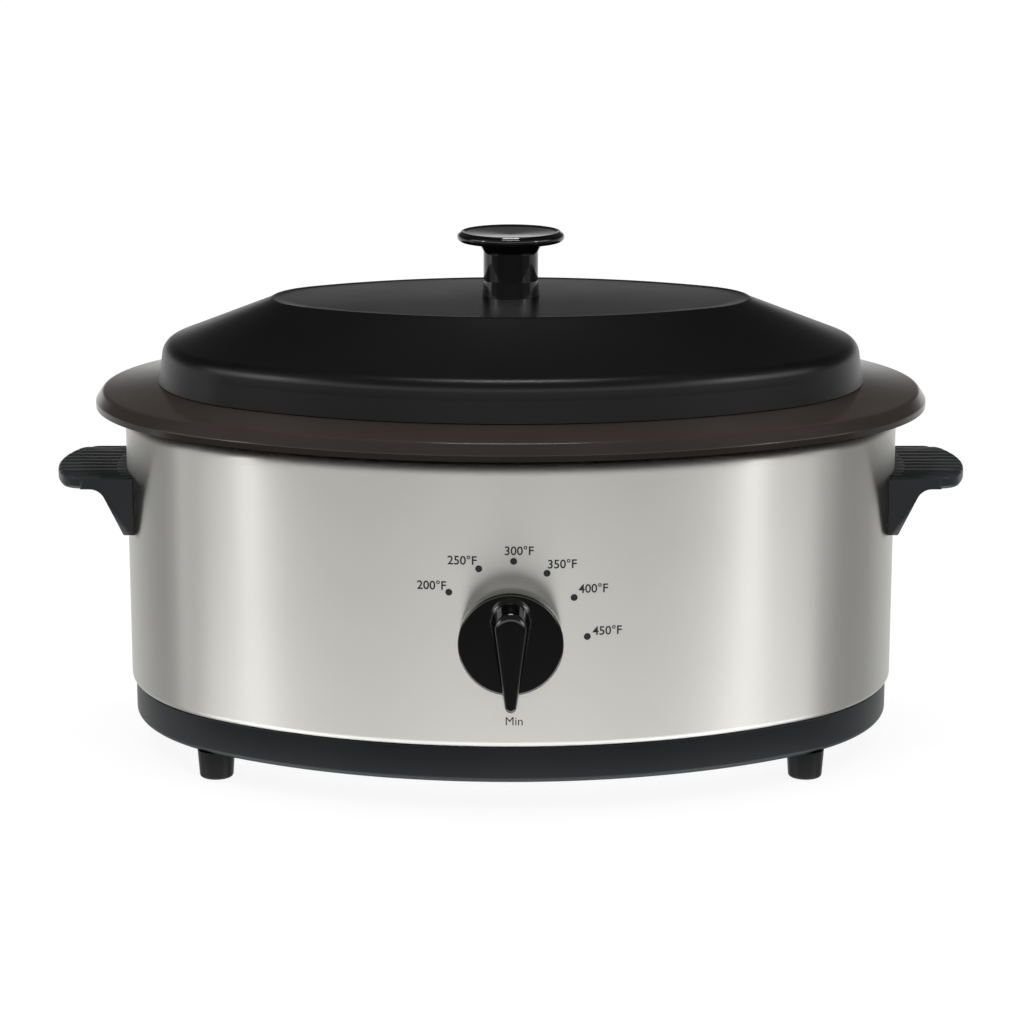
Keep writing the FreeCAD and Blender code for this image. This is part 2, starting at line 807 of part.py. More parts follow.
def handle_plate_solid():
    """Return the handle's top plate with rounded outer corners and edges."""
    plate = handle_plan().extrude(V(0, 0, handle_plate))
    corners = [edge for edge in plate.Edges if upright_outer(edge)]
    plate = plate.makeFillet(handle_corner, corners)
    plate.translate(V(0, 0, handle_top - handle_plate))
    outer = []
    for edge in plate.Edges:
        bounds = edge.BoundBox
        flat = bounds.ZLength < 0.01
        if flat and bounds.XMin > end_centre_x + 1 and bounds.XMax > handle_reach - 3 * handle_corner:
            outer.append(edge)
    try_radius = min(handle_plate * 0.3, 2.0)
    return plate.makeFillet(try_radius, outer)


def upright_outer(edge):
    """Say whether an edge is one of the plate's two upright outer corners."""
    bounds = edge.BoundBox
    return bounds.ZLength > 1 and bounds.XMin > end_centre_x + 1


def gusset(y_low):
    """Return one triangular end web under the handle's plate."""
    wall_x = handle_wall_x(handle_half_width)
    under = handle_top - handle_plate
    foot_x = wall_x + handle_wall + gusset_foot
    points = [
        (wall_x - handle_wall, under + handle_plate / 2, 0),
        (wall_x + handle_length * 0.75, under + handle_plate / 2, 0),
        (wall_x + handle_length * 0.75, under, 0),
        (foot_x + gusset_reach, under, gusset_root_radius),
        (foot_x, handle_bottom, gusset_foot),
        (wall_x - handle_wall, handle_bottom, 0),
    ]
    web = closed_profile(points).extrude(V(0, gusset_wall, 0))
    web.translate(V(0, y_low, 0))
    return web


def handle_grooves():
    """Return the grip grooves, which start along an arc outside the body's wall."""
    pitch = 2 * (handle_half_width - groove_width) / groove_count
    pieces = []
    for step in range(groove_count + 1):
        y = (step - groove_count / 2) * pitch
        low = (end_centre_x, y - groove_width / 2, handle_top - groove_depth)
        high = (handle_reach + 1, y + groove_width / 2, handle_top + 1)
        pieces.append(box(low, high))
    keep = cylinder(body_reach - end_centre_x + groove_margin, V(end_centre_x, 0, 0), UP, handle_top * 2)
    return Part.Compound(pieces).cut(keep)


def side_handle(side):
    """One moulded end handle: grooved plate, two gussets and the flange against the body."""
    end_radius = body_reach - end_centre_x
    axis = V(end_centre_x, 0, handle_bottom)
    height = handle_top - handle_plate * 0.5 - handle_bottom
    flange = cylinder(end_radius + handle_wall, axis, UP, height)
    half = handle_half_width
    slab = box((end_centre_x + 1, -half, handle_bottom), (handle_reach, half, handle_top))
    flange = flange.common(slab)
    solid = handle_plate_solid().fuse([flange, gusset(-half), gusset(half - gusset_wall)])
    solid = solid.cut(cylinder(end_radius + wrap_gap, V(end_centre_x, 0, 0), UP, handle_top * 2))
    solid = solid.cut(handle_grooves())
    for y in (-handle_screw_y, handle_screw_y):
        start = V(end_centre_x, y, handle_screw_z)
        length = handle_wall_x(y) + handle_screw_bite - end_centre_x
        solid = solid.cut(cylinder(handle_screw_radius, start, RIGHT, length))
    solid = solid.removeSplitter()
    if side < 0:
        solid.rotate(V(0, 0, 0), UP, 180)
    return solid


def handle_screws():
    """Screws from inside the body into the handles' flanges."""
    pieces = []
    for y in (-handle_screw_y, handle_screw_y):
        seat = handle_wall_x(y, -shell_sheet) - 1.2
        head = cylinder(handle_screw_head, V(seat, y, handle_screw_z), -RIGHT, handle_screw_head_height)
        tip = handle_wall_x(y) + handle_screw_bite
        piece = head.fuse(cylinder(handle_screw_radius, V(seat, y, handle_screw_z), RIGHT, tip - seat))
        other = piece.copy()
        other.rotate(V(0, 0, 0), UP, 180)
        pieces += [piece, other]
    return Part.Compound(pieces)


def control_knob():
    """Dial with a tapered body and a grip bar whose tip reaches past the dial as a pointer."""
    depth = dial_back - dial_face
    body = Part.makeCone(dial_radius, dial_front_radius, depth, V(0, dial_back, dial_z), -BACK)
    front = [edge for edge in body.Edges if edge.BoundBox.YMax < dial_face + 0.01]
    body = body.makeFillet(1.2, front)
    centre_z = dial_z + pointer_top - pointer_top_half_width
    start = V(-pointer_top_half_width, 0, centre_z)
    end = V(pointer_top_half_width, 0, centre_z)
    top = V(0, 0, centre_z + pointer_top_half_width)
    low_left = V(-pointer_tip_half_width, 0, dial_z - pointer_tip + pointer_tip_half_width)
    low_right = V(pointer_tip_half_width, 0, dial_z - pointer_tip + pointer_tip_half_width)
    tip = V(0, 0, dial_z - pointer_tip)
    edges = [Part.Arc(start, top, end).toShape()]
    edges.append(Part.LineSegment(end, low_right).toShape())
    edges.append(Part.Arc(low_right, tip, low_left).toShape())
    edges.append(Part.LineSegment(low_left, start).toShape())
    bar = Part.Face(Part.Wire(edges)).extrude(V(0, dial_depth + pointer_rise - dial_gap, 0))
    bar.translate(V(0, dial_face - pointer_rise, 0))
    bar = bar.makeFillet(1.0, [edge for edge in bar.Edges if edge.BoundBox.YMax < bar.BoundBox.YMin + 0.01])
    knob = body.fuse(bar).removeSplitter()
    knob = knob.cut(cylinder(dial_recess_radius, V(0, dial_back, dial_z), -BACK, dial_recess))
    return knob.cut(cylinder(shaft_radius, V(0, dial_back, dial_z), -BACK, shaft_into_dial))


def thermostat_shaft():
    """Turning spindle from the thermostat's works into the dial."""
    start = thermostat_front + thermostat_depth * 0.6
    end = dial_back - shaft_into_dial
    return cylinder(shaft_radius, V(0, start, dial_z), -BACK, start - end)


def thermostat_body():
    """Thermostat works with its threaded bush through the body's front wall."""
    half = thermostat_width / 2
    rise = thermostat_height / 2
    back = thermostat_front + thermostat_depth
    works = box((-half, thermostat_front, dial_z - rise), (half, back, dial_z + rise))
    upright = [edge for edge in works.Edges if edge.BoundBox.YLength > 1]
    works = works.makeFillet(2.0, upright)
    bush_end = dial_back - dial_recess + dial_gap
    works = works.fuse(cylinder(bush_radius, V(0, thermostat_front, dial_z), -BACK, thermostat_front - bush_end))
    bore_start = V(0, thermostat_front + thermostat_depth * 0.6 + fit_gap, dial_z)
    return works.cut(cylinder(shaft_radius + running_gap, bore_start, -BACK, thermostat_depth * 2))


def thermostat_nut():
    """Nut on the thermostat's bush, hidden in the dial's recess."""
    nut = Part.Face(Part.makePolygon(hexagon(nut_radius, front_y - nut_depth, dial_z)))
    nut = nut.extrude(V(0, nut_depth, 0))
    return nut.cut(cylinder(bush_radius, V(0, front_y - 2 * nut_depth, dial_z), BACK, 4 * nut_depth))


def terminal_block():
    """Ceramic terminal block on the bottom plate."""
    half = block_length / 2
    low = (-half, block_y - block_depth / 2, plate_top)
    high = (half, block_y + block_depth / 2, plate_top + block_height)
    block = box(low, high)
    for step in (-1, 0, 1):
        start = V(step * block_screw_pitch, block_y, plate_top + block_height * 0.5)
        block = block.cut(cylinder(block_screw_radius, start, UP, block_height))
    return block


def terminal_screws():
    """Clamp screws of the terminal block."""
    pieces = []
    for step in (-1, 0, 1):
        start = V(step * block_screw_pitch, block_y, plate_top + block_height * 0.5)
        pieces.append(cylinder(block_screw_radius, start, UP, block_height * 0.4))
    return Part.Compound(pieces)


def cord_gland():
    """Bush in the rear wall for the supply cord: outer flange, barrel and bore."""
    wall = -front_y
    flange = cylinder(gland_flange_radius, V(0, wall + fit_gap, gland_z), BACK, gland_flange)
    barrel_start = V(0, wall - shell_sheet - gland_nut_depth - fit_gap, gland_z)
    barrel = cylinder(gland_radius, barrel_start, BACK, gland_nut_depth + shell_sheet + 2 * fit_gap)
    gland = flange.fuse(barrel)
    return gland.cut(cylinder(gland_bore, V(0, 0, gland_z), BACK, wall * 2))


def gland_nut():
    """Nut that holds the cord gland from inside."""
    wall = -front_y - shell_sheet - fit_gap
    nut = Part.Face(Part.makePolygon(hexagon(gland_nut_radius, wall - gland_nut_depth, gland_z)))
    nut = nut.extrude(V(0, gland_nut_depth - fit_gap, 0))
    return nut.cut(cylinder(gland_radius, V(0, 0, gland_z), BACK, wall * 2))


def hexagon(radius, y, z):
    """Return the closed corner list of a hexagon that faces along Y."""
    corners = []
    for step in range(7):
        angle = math.radians(60 * step)
        corners.append(V(radius * math.cos(angle), y, z + radius * math.sin(angle)))
    return corners


def lead_live():
    """Lead from the terminal block to the thermostat."""
    low_z = plate_top + block_height * 0.4
    rise_y = liner_front - 3 * lead_radius
    points = [
        V(-lead_x, block_y - block_depth / 2, low_z),
        V(-lead_x, rise_y, low_z),
        V(-lead_x, rise_y, dial_z - thermostat_height / 2),
    ]
    return tube_path(points, lead_radius, lead_bend)


def lead_heater():
    """Short lead from the thermostat up to the heater band."""
    y = -(strap_reach - length_over_width) - 4 * lead_radius
    start = V(lead_x, y, dial_z + thermostat_height / 2)
    return cylinder(lead_radius, start, UP, band_bottom - start.z + pocket_over - fit_gap)


def lead_fuse():
    """Lead from the heater band down to the thermal fuse."""
    start = V(-lead_x, fuse_y(), fuse_z + fuse_length)
    return cylinder(lead_radius, start, UP, band_bottom - start.z - fit_gap)


def fuse_y():
    """Return the Y of the fuse and its leads, just outside the liner's rear wall."""
    return liner_reach - length_over_width + saddle_wall + fuse_radius + fit_gap


def thermal_fuse():
    """Thermal fuse held against the liner's rear wall."""
    fuse = cylinder(fuse_radius, V(-lead_x, fuse_y(), fuse_z), UP, fuse_length)
    ends = [edge for edge in fuse.Edges if edge.BoundBox.ZLength < 0.01]
    return fuse.makeFillet(0.8, ends)


def fuse_saddle():
    """Spring saddle that clips the fuse to the liner."""
    outer = fuse_radius + saddle_wall + fit_gap
    bottom = fuse_z + fuse_length / 2 - saddle_height / 2
    saddle = cylinder(outer, V(-lead_x, fuse_y(), bottom), UP, saddle_height)
    saddle = saddle.cut(cylinder(fuse_radius + fit_gap / 3, V(-lead_x, fuse_y(), 0), UP, fuse_z * 2))
    liner_radius = liner_reach - end_centre_x + side_extra + wrap_gap
    return saddle.cut(cylinder(liner_radius, V(0, -side_centre_y, 0), UP, fuse_z * 2))


def lead_neutral():
    """Lead from the thermal fuse back to the terminal block."""
    low_z = plate_top + block_height * 0.4
    points = [
        V(-lead_x, fuse_y(), fuse_z),
        V(-lead_x, fuse_y(), low_z),
        V(-lead_x, block_y + block_depth / 2, low_z),
    ]
    return tube_path(points, lead_radius, lead_bend)


def save(name, shape):
    """Write one node, moved so that the whole object is centred on the origin."""
    placed = shape.copy()
    placed.translate(oval_centre)
    placed.exportStep("parts/" + name + ".step")
    print(name, len(placed.Solids), "solids", round(placed.Volume), "mm3", placed.isValid())


def main():
    """Build and write every node."""
    os.makedirs("parts", exist_ok=True)
    save("base_pan", base_pan())
    names = ("foot_rear_left", "foot_front_left", "foot_rear_right", "foot_front_right")
    order = {(-1, 1): names[0], (-1, -1): names[1], (1, 1): names[2], (1, -1): names[3]}
    for x, y in foot_places():
        save(order[(math.copysign(1, x), math.copysign(1, y))], foot(x, y))
    save("bottom_plate", bottom_plate())
    save("rim_screws", rim_screws())
    save("bracket_screws", bracket_screws())
    save("body_shell", body_shell())
    save("seat_ring", seat_ring())
    save("heating_liner", heating_liner())
    save("liner_brackets", liner_brackets())
    save("heat_shield", heat_shield())
    save("ceramic_spacers", ceramic_spacers())
    save("mica_band", mica_band())
    save("heater_ribbons", heater_ribbons())
    save("heater_strap", heater_strap())
    save("insulation_blanket", insulation_blanket())
    save("cookwell", cookwell())
    save("roasting_rack", roasting_rack())
    save("lid_shell", lid_shell())
    save("lid_knob", lid_knob())
    save("lid_knob_washer", lid_knob_washer())
    save("lid_knob_screw", lid_knob_screw())
    save("handle_left", side_handle(-1))
    save("handle_right", side_handle(1))
    save("handle_screws", handle_screws())
    save("control_knob", control_knob())
    save("thermostat_shaft", thermostat_shaft())
    save("thermostat_body", thermostat_body())
    save("thermostat_nut", thermostat_nut())
    save("terminal_block", terminal_block())
    save("terminal_screws", terminal_screws())
    save("cord_gland", cord_gland())
    save("gland_nut", gland_nut())
    save("lead_live", lead_live())
    save("lead_heater", lead_heater())
    save("lead_fuse", lead_fuse())
    save("thermal_fuse", thermal_fuse())
    save("fuse_saddle", fuse_saddle())
    save("lead_neutral", lead_neutral())


main()
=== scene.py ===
"""Looks of an oval electric roaster oven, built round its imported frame.

Sizes are millimetres unless a name says otherwise, and become metres in the meshes.  The oven
stands on its feet at z = 0, is symmetric about x = 0, and its dial faces -Y.
"""

import logging
import math
from collections.abc import Callable, Iterable, Sequence
from dataclasses import dataclass, field
from enum import Enum

import bmesh
import bpy
from mathutils import Matrix, Vector


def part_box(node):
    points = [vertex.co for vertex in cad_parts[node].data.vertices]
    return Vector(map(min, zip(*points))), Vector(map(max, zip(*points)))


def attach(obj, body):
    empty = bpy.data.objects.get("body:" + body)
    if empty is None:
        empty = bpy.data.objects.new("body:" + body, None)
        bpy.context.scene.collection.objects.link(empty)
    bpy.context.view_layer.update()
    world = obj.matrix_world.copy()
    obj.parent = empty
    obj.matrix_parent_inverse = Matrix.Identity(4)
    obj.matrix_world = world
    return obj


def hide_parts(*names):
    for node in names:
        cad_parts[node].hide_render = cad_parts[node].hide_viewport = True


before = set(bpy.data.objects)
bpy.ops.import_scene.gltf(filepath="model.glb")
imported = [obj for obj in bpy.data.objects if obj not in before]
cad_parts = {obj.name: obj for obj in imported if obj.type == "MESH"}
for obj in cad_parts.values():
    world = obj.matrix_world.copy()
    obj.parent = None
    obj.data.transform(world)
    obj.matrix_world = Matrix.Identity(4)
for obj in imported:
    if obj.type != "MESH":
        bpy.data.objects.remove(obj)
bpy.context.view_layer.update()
log = logging.getLogger("roaster_oven")

MM = 0.001
Corner = tuple[float, float, float]
Outline = list[tuple[float, float]]
Ring = list[Vector]
Tree = bpy.types.NodeTree
Socket = bpy.types.NodeSocket
Piece = bpy.types.Object


class Body(Enum):
    """The bodies that move on their own."""

    HOUSING = "housing"
    COOKWELL = "cookwell_body"
    RACK = "rack_body"
    LID = "lid_body"
    DIAL = "dial_body"


class Weight(Enum):
    """How boldly a mark is printed, as the stroke's growth in millimetres."""

    LIGHT = 0.0
    BOLD = 0.09


def linear(hex_colour: str) -> tuple[float, float, float, float]:
    """Turn an sRGB hex colour, such as "#a9abac", to linear light with an alpha of one."""
    channels = []
    for start in (1, 3, 5):
        value = int(hex_colour[start:start + 2], 16) / 255
        channels.append(value / 12.92 if value <= 0.04045 else ((value + 0.055) / 1.055) ** 2.4)
    return (*channels, 1.0)


def add_node(tree: Tree, kind: str, settings: dict | None = None,
             links: dict | None = None, values: dict | None = None) -> bpy.types.Node:
    """Add one node with its settings, socket values and incoming links.

    Args:
        tree: The node tree that gets the node.
        kind: The node's type name.
        settings: Properties of the node.
        links: Input sockets and the output sockets that feed them.
        values: Input sockets and their constant values.

    Returns:
        The new node.
    """
    node = tree.nodes.new(kind)
    for name, value in (settings or {}).items():
        setattr(node, name, value)
    for socket, value in (values or {}).items():
        node.inputs[socket].default_value = value
    for socket, source in (links or {}).items():
        tree.links.new(source, node.inputs[socket])
    return node


def emptied(owner: bpy.types.Material | bpy.types.World) -> Tree:
    """Return the owner's node tree with nothing in it."""
    owner.use_nodes = True
    owner.node_tree.nodes.clear()
    return owner.node_tree


def mixed(tree: Tree, share: Socket, first: Socket,
          second: Socket) -> Socket:
    """Return two shaders mixed, the second by its share."""
    node = add_node(tree, "ShaderNodeMixShader", links={"Fac": share, 1: first, 2: second})
    return node.outputs["Shader"]


@dataclass(frozen=True)
class Finish:
    """One surface finish: a base colour, a gloss, and the fine relief of how it was made."""

    name: str
    slot: str
    colour: str
    roughness: float
    metallic: float = 0.0
    specular: float = 0.5
    coat: float = 0.0
    coat_roughness: float = 0.03
    grain_mm: float = 0.5
    grain_height_mm: float = 0.01
    grain_detail: float = 2.0
    mottle_mm: float = 40.0
    mottle: float = 0.08
    gloss_spread: float = 0.05

    def build(self) -> bpy.types.Material:
        """Return the finish's material, made once."""
        made = bpy.data.materials.get(self.name)
        if made:
            return made
        material = bpy.data.materials.new(self.name)
        tree = emptied(material)
        place = add_node(tree, "ShaderNodeTexCoord").outputs["Object"]
        shader = self.shader(tree, place)
        add_node(tree, "ShaderNodeOutputMaterial", links={"Surface": shader.outputs["BSDF"]})
        return material

    def shader(self, tree: Tree, place: Socket) -> bpy.types.Node:
        """Build the surface shader.

        Args:
            tree: The material's node tree.
            place: The object coordinates.

        Returns:
            The shader node.
        """
        blotch = self.noise(tree, place, self.mottle_mm, 3.0)
        shade = add_node(tree, "ShaderNodeMapRange", links={"Value": blotch},
                         values={"To Min": 1 - self.mottle, "To Max": 1 + self.mottle})
        tint = add_node(tree, "ShaderNodeVectorMath", {"operation": "SCALE"},
                        links={"Scale": shade.outputs["Result"]},
                        values={0: linear(self.colour)[:3]})
        gloss = add_node(tree, "ShaderNodeMapRange", links={"Value": blotch},
                         values={"To Min": max(self.roughness - self.gloss_spread, 0.02),
                                 "To Max": self.roughness + self.gloss_spread})
        links = {"Base Color": tint.outputs["Vector"], "Roughness": gloss.outputs["Result"],
                 "Normal": self.relief(tree, place)}
        values = {"Metallic": self.metallic, "Specular IOR Level": self.specular,
                  "Coat Weight": self.coat, "Coat Roughness": self.coat_roughness}
        return add_node(tree, "ShaderNodeBsdfPrincipled", links=links, values=values)

    def relief(self, tree: Tree, place: Socket) -> Socket:
        """Return the bumped normal of the surface's grain."""
        return self.bumped(tree, self.noise(tree, place, self.grain_mm, self.grain_detail))

    def bumped(self, tree: Tree, grain: Socket) -> Socket:
        """Return the normal that a grain of the finish's own height gives."""
        bump = add_node(tree, "ShaderNodeBump", links={"Height": grain},
                        values={"Distance": self.grain_height_mm * MM, "Strength": 1.0})
        return bump.outputs["Normal"]

    def noise(self, tree: Tree, place: Socket, size_mm: float,
              detail: float) -> Socket:
        """Return an even noise whose cells have a real size."""
        node = add_node(tree, "ShaderNodeTexNoise", links={"Vector": place},
                        values={"Scale": 1000 / size_mm, "Detail": detail})
        return node.outputs["Fac"]


@dataclass(frozen=True)
class BrushedFinish(Finish):
    """Sheet brushed along its length: fine level scratches that smear light up and down."""

    scratch_mm: float = 0.5
    scratch_length_mm: float = 90.0
    anisotropy: float = 1.0
    quarter_turn: float = 0.25

    def relief(self, tree: Tree, place: Socket) -> Socket:
        """Return the normal of level scratches, coarse enough to show in a picture."""
        along = 1000 / self.scratch_length_mm
        across = 1000 / self.scratch_mm
        stretch = add_node(tree, "ShaderNodeMapping", links={"Vector": place},
                           values={"Scale": (along, along, across)})
        scratches = add_node(tree, "ShaderNodeTexNoise",
                             links={"Vector": stretch.outputs["Vector"]},
                             values={"Scale": 1.0, "Detail": 4.0})
        return self.bumped(tree, scratches.outputs["Fac"])

    def shader(self, tree: Tree, place: Socket) -> bpy.types.Node:
        """Build the shader with its highlight drawn across the brushing."""
        node = super().shader(tree, place)
        node.inputs["Anisotropic"].default_value = self.anisotropy
        node.inputs["Anisotropic Rotation"].default_value = self.quarter_turn
        tangent = add_node(tree, "ShaderNodeTangent", {"direction_type": "RADIAL", "axis": "Z"})
        tree.links.new(tangent.outputs["Tangent"], node.inputs["Tangent"])
        return node


# Brushed stainless sheet: soft grey metal whose fine level scratches blur light upright.
STEEL = BrushedFinish("brushed_stainless", "brushed_steel_body", "#cfcec9", 0.34, metallic=1.0,
                      grain_height_mm=0.004, mottle=0.015, gloss_spread=0.02)
# Vitreous enamel, fired glossy: brown-black, mirror-like, with a faint orange peel.
RIM_ENAMEL = Finish("glossy_enamel", "well_enamel", "#39322f", 0.14, specular=0.35, grain_mm=9.0,
                    grain_height_mm=0.02, mottle=0.15, gloss_spread=0.04)
# Enamel fired satin: near-black, broad soft reflections and a very fine pebble.
LID_ENAMEL = Finish("satin_enamel", "lid_enamel", "#070708", 0.31, specular=0.40, grain_mm=1.2,
                    grain_height_mm=0.006, mottle=0.1)
# Phenolic pressed in a polished mould: deep gloss black with sharp highlights.
PHENOLIC = Finish("polished_phenolic", "gloss_phenolic", "#070707", 0.10, coat=0.5, grain_mm=14.0,
                  grain_height_mm=0.012, mottle=0.1, gloss_spread=0.02)
# Phenolic pressed in a spark-eroded mould: dark grey, satin, finely pebbled.
GRIP = Finish("satin_phenolic", "handle_plastic", "#1d1f21", 0.40, grain_mm=0.6,
              grain_height_mm=0.012, mottle=0.06)
# The base's moulding: charcoal with a slight blue cast and a low satin gloss.
BASE = Finish("charcoal_moulding", "charcoal_plastic", "#171b1e", 0.40, specular=0.35, grain_mm=0.6,
              grain_height_mm=0.010, mottle=0.06)
# The feet: the base's own moulding, coloured much darker than the base as painted shade low by the
# floor.
FOOT_PAINTED_SHADE = Finish("foot_moulding", "foot_plastic", "#08090a", 0.36, specular=0.2, grain_mm=0.6,
              grain_height_mm=0.012, mottle=0.06)
# Zinc-plated pressed parts: cool grey, a little cloudy.
PLATED = Finish("zinc_plate", "plated_steel", "#a9abac", 0.34, metallic=1.0, grain_mm=0.9,
                grain_height_mm=0.004, mottle=0.10)
# Aluminised liner sheet: dull silver with a fine spangle.
LINER = Finish("aluminised_sheet", "liner_steel", "#8f8f8c", 0.40, metallic=0.9, grain_mm=2.4,
               grain_height_mm=0.004, mottle=0.14, mottle_mm=12.0)
# The seat ring: the liner's aluminised sheet coloured near black, as painted shade in the gap under
# the rim.
SEAT_PAINTED_SHADE = Finish("dark_seat", "liner_steel", "#2b2a29", 0.5, metallic=0.6, grain_mm=1.0,
              grain_height_mm=0.006)
REFLECTOR = Finish("reflector_sheet", "reflector", "#cfcfcf", 0.18, metallic=1.0, grain_mm=1.0,
                   grain_height_mm=0.002, mottle=0.04)
CERAMIC = Finish("steatite", "steatite", "#ddd5c4", 0.28, coat=0.3, grain_mm=1.5,
                 grain_height_mm=0.01, mottle=0.05, mottle_mm=8.0)
MICA = Finish("mica_sheet", "mica", "#8f7a56", 0.45, grain_mm=1.6, grain_height_mm=0.02,
              mottle=0.25, mottle_mm=6.0)
RIBBON = Finish("resistance_ribbon", "resistance_ribbon", "#7d7772", 0.35, metallic=1.0,
                grain_mm=0.8, grain_height_mm=0.003)
WOOL = Finish("glass_wool", "glass_wool", "#d9cf8f", 0.95, specular=0.1, grain_mm=2.2,
              grain_height_mm=0.6, grain_detail=6.0, mottle=0.18, mottle_mm=7.0)
CHROME = Finish("chromed_wire", "rack_chrome", "#d4d6d8", 0.10, metallic=1.0, grain_mm=3.0,
                grain_height_mm=0.004, mottle=0.03, gloss_spread=0.03)
WORKS = Finish("thermostat_case", "thermostat_works", "#c9c1ad", 0.4, grain_mm=0.8,
               grain_height_mm=0.01)
SLEEVE = Finish("lead_sleeve", "lead_sleeve", "#d8d4c8", 0.55, grain_mm=0.7,
                grain_height_mm=0.05, mottle=0.08, mottle_mm=3.0)
FUSE = Finish("fuse_case", "fuse_metal", "#b9ac86", 0.25, metallic=1.0, grain_mm=1.0,
              grain_height_mm=0.003)
NYLON = Finish("moulded_nylon", "gland_plastic", "#0e0e0e", 0.35, grain_mm=0.5,
               grain_height_mm=0.01)
# Screen-printed ink: flat black with a slightly rough skin.
INK = Finish("printed_ink", "brushed_steel_body", "#101010", 0.5, grain_mm=0.4,
             grain_height_mm=0.006, mottle=0.05)


def rounded(corners: Sequence[Corner], steps: int = 6) -> Outline:
    """Round an open outline's corners with arcs.

    Args:
        corners: Points of the outline, each with its corner radius.
        steps: Pieces in each arc.

    Returns:
        The outline's points.
    """
    points: Outline = [(corners[0][0], corners[0][1])]
    for before, corner, after in zip(corners, corners[1:], corners[2:]):
        tip = Vector((corner[0], corner[1]))
        back = (Vector(before[:2]) - tip).normalized()
        onward = (Vector(after[:2]) - tip).normalized()
        half = back.angle(onward) / 2
        if corner[2] <= 0 or math.pi / 2 - half < 0.01:
            points.append((tip.x, tip.y))
            continue
        start = tip + back * (corner[2] / math.tan(half))
        centre = tip + (back + onward).normalized() * (corner[2] / math.sin(half))
        sweep = math.pi - 2 * half
        turn = 1 if back.x * onward.y - back.y * onward.x < 0 else -1
        arm = start - centre
        for step in range(steps + 1):
            angle = turn * sweep * step / steps
            cosine, sine = math.cos(angle), math.sin(angle)
            points.append((centre.x + arm.x * cosine - arm.y * sine,
                           centre.y + arm.x * sine + arm.y * cosine))
    points.append((corners[-1][0], corners[-1][1]))
    return points


def shifted(corners: Sequence[Corner], distance: float) -> list[Corner]:
    """Move an open outline to its left-hand side, with its corner radii matched."""
    moved: list[Corner] = []
    for index, (x, y, radius) in enumerate(corners):
        normals = []
        for first, second in ((index - 1, index), (index, index + 1)):
            if first >= 0 and second < len(corners):
                step = Vector(corners[second][:2]) - Vector(corners[first][:2])
                step.normalize()
                normals.append(Vector((-step.y, step.x)))
        if len(normals) == 1:
            moved.append((x + normals[0].x * distance, y + normals[0].y * distance, 0.0))
            continue
        one, two = normals
        reach = (one + two) * (distance / (1 + one.dot(two)))
        turns_left = one.x * two.y - one.y * two.x > 0
        grown = max(radius - distance, 0.05) if turns_left else radius + distance
        moved.append((x + reach.x, y + reach.y, grown))
    return moved


def sheet_section(corners: Sequence[Corner], sheet: float, steps: int = 6) -> Outline:
    """Return the closed section of a formed sheet, thickened to the outline's left."""
    return rounded(corners, steps) + rounded(shifted(corners, sheet), steps)[::-1]


def skin(name: str, rings: Sequence[Ring], wrapped: bool = False) -> Piece:
    """Stretch a closed surface over rings of equal length.

    Args:
        name: The new object's name.
        rings: Closed rings of points in millimetres.
        wrapped: Whether the last ring joins the first; otherwise both ends are capped.

    Returns:
        The new object.
    """
    work = bmesh.new()
    rows = [[work.verts.new(point * MM) for point in ring] for ring in rings]
    pairs = list(zip(rows, rows[1:]))
    if wrapped:
        pairs.append((rows[-1], rows[0]))
    for low, high in pairs:
        for index in range(len(low)):
            after = (index + 1) % len(low)
            work.faces.new((low[index], low[after], high[after], high[index]))
    if not wrapped:
        work.faces.new(rows[0])
        work.faces.new(rows[-1])
    bmesh.ops.remove_doubles(work, verts=work.verts, dist=1e-6)
    bmesh.ops.recalc_face_normals(work, faces=work.faces)
    return from_bmesh(name, work)


def placed(name: str, data: bpy.types.ID) -> Piece:
    """Return a new object of the scene that shows the data."""
    piece = bpy.data.objects.new(name, data)
    bpy.context.scene.collection.objects.link(piece)
    return piece


def from_bmesh(name: str, work: bmesh.types.BMesh) -> Piece:
    """Turn a finished working mesh to an object."""
    mesh = bpy.data.meshes.new(name)
    work.to_mesh(mesh)
    work.free()
    return placed(name, mesh)


def plain_mesh(piece: Piece) -> Piece:
    """Replace an object by a plain mesh of how it evaluates."""
    bpy.context.view_layer.update()
    evaluated = piece.evaluated_get(bpy.context.evaluated_depsgraph_get())
    mesh = bpy.data.meshes.new_from_object(evaluated)
    name = piece.name
    bpy.data.objects.remove(piece)
    mesh.name = name
    return placed(name, mesh)


def dress(piece: Piece, finish: Finish, body: Body, replaces: Iterable[str] = (),
          smooth_degrees: float = 32.0) -> Piece:
    """Give a piece its finish, smooth its faces and fix it to its body.

    Args:
        piece: The piece.
        finish: Its finish.
        body: The body that it rides on.
        replaces: Frame nodes that it stands for.
        smooth_degrees: The sharpest edge that is still shaded smooth.

    Returns:
        The piece.
    """
    piece.data.materials.clear()
    piece.data.materials.append(finish.build())
    piece.data.shade_smooth()
    piece.data.set_sharp_from_angle(angle=math.radians(smooth_degrees))
    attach(piece, body.value)
    if replaces:
        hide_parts(*replaces)
    log.info("%s: %d faces on %s", piece.name, len(piece.data.polygons), body.value)
    return piece


def smooth_copy(node: str, finish: Finish, body: Body) -> Piece:
    """Dress a merged, smooth-shaded copy of a frame node in that node's place."""
    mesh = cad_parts[node].data.copy()
    piece = placed(node + "_finished", mesh)
    work = bmesh.new()
    work.from_mesh(mesh)
    bmesh.ops.remove_doubles(work, verts=work.verts, dist=2e-6)
    work.to_mesh(mesh)
    work.free()
    return dress(piece, finish, body, (node,), smooth_degrees=28.0)


def paint_node(node: str, finish: Finish) -> None:
    """Give a frame node a finish where it stands."""
    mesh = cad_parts[node].data
    mesh.materials.clear()
    mesh.materials.append(finish.build())
    log.info("%s: frame node in %s", node, finish.name)


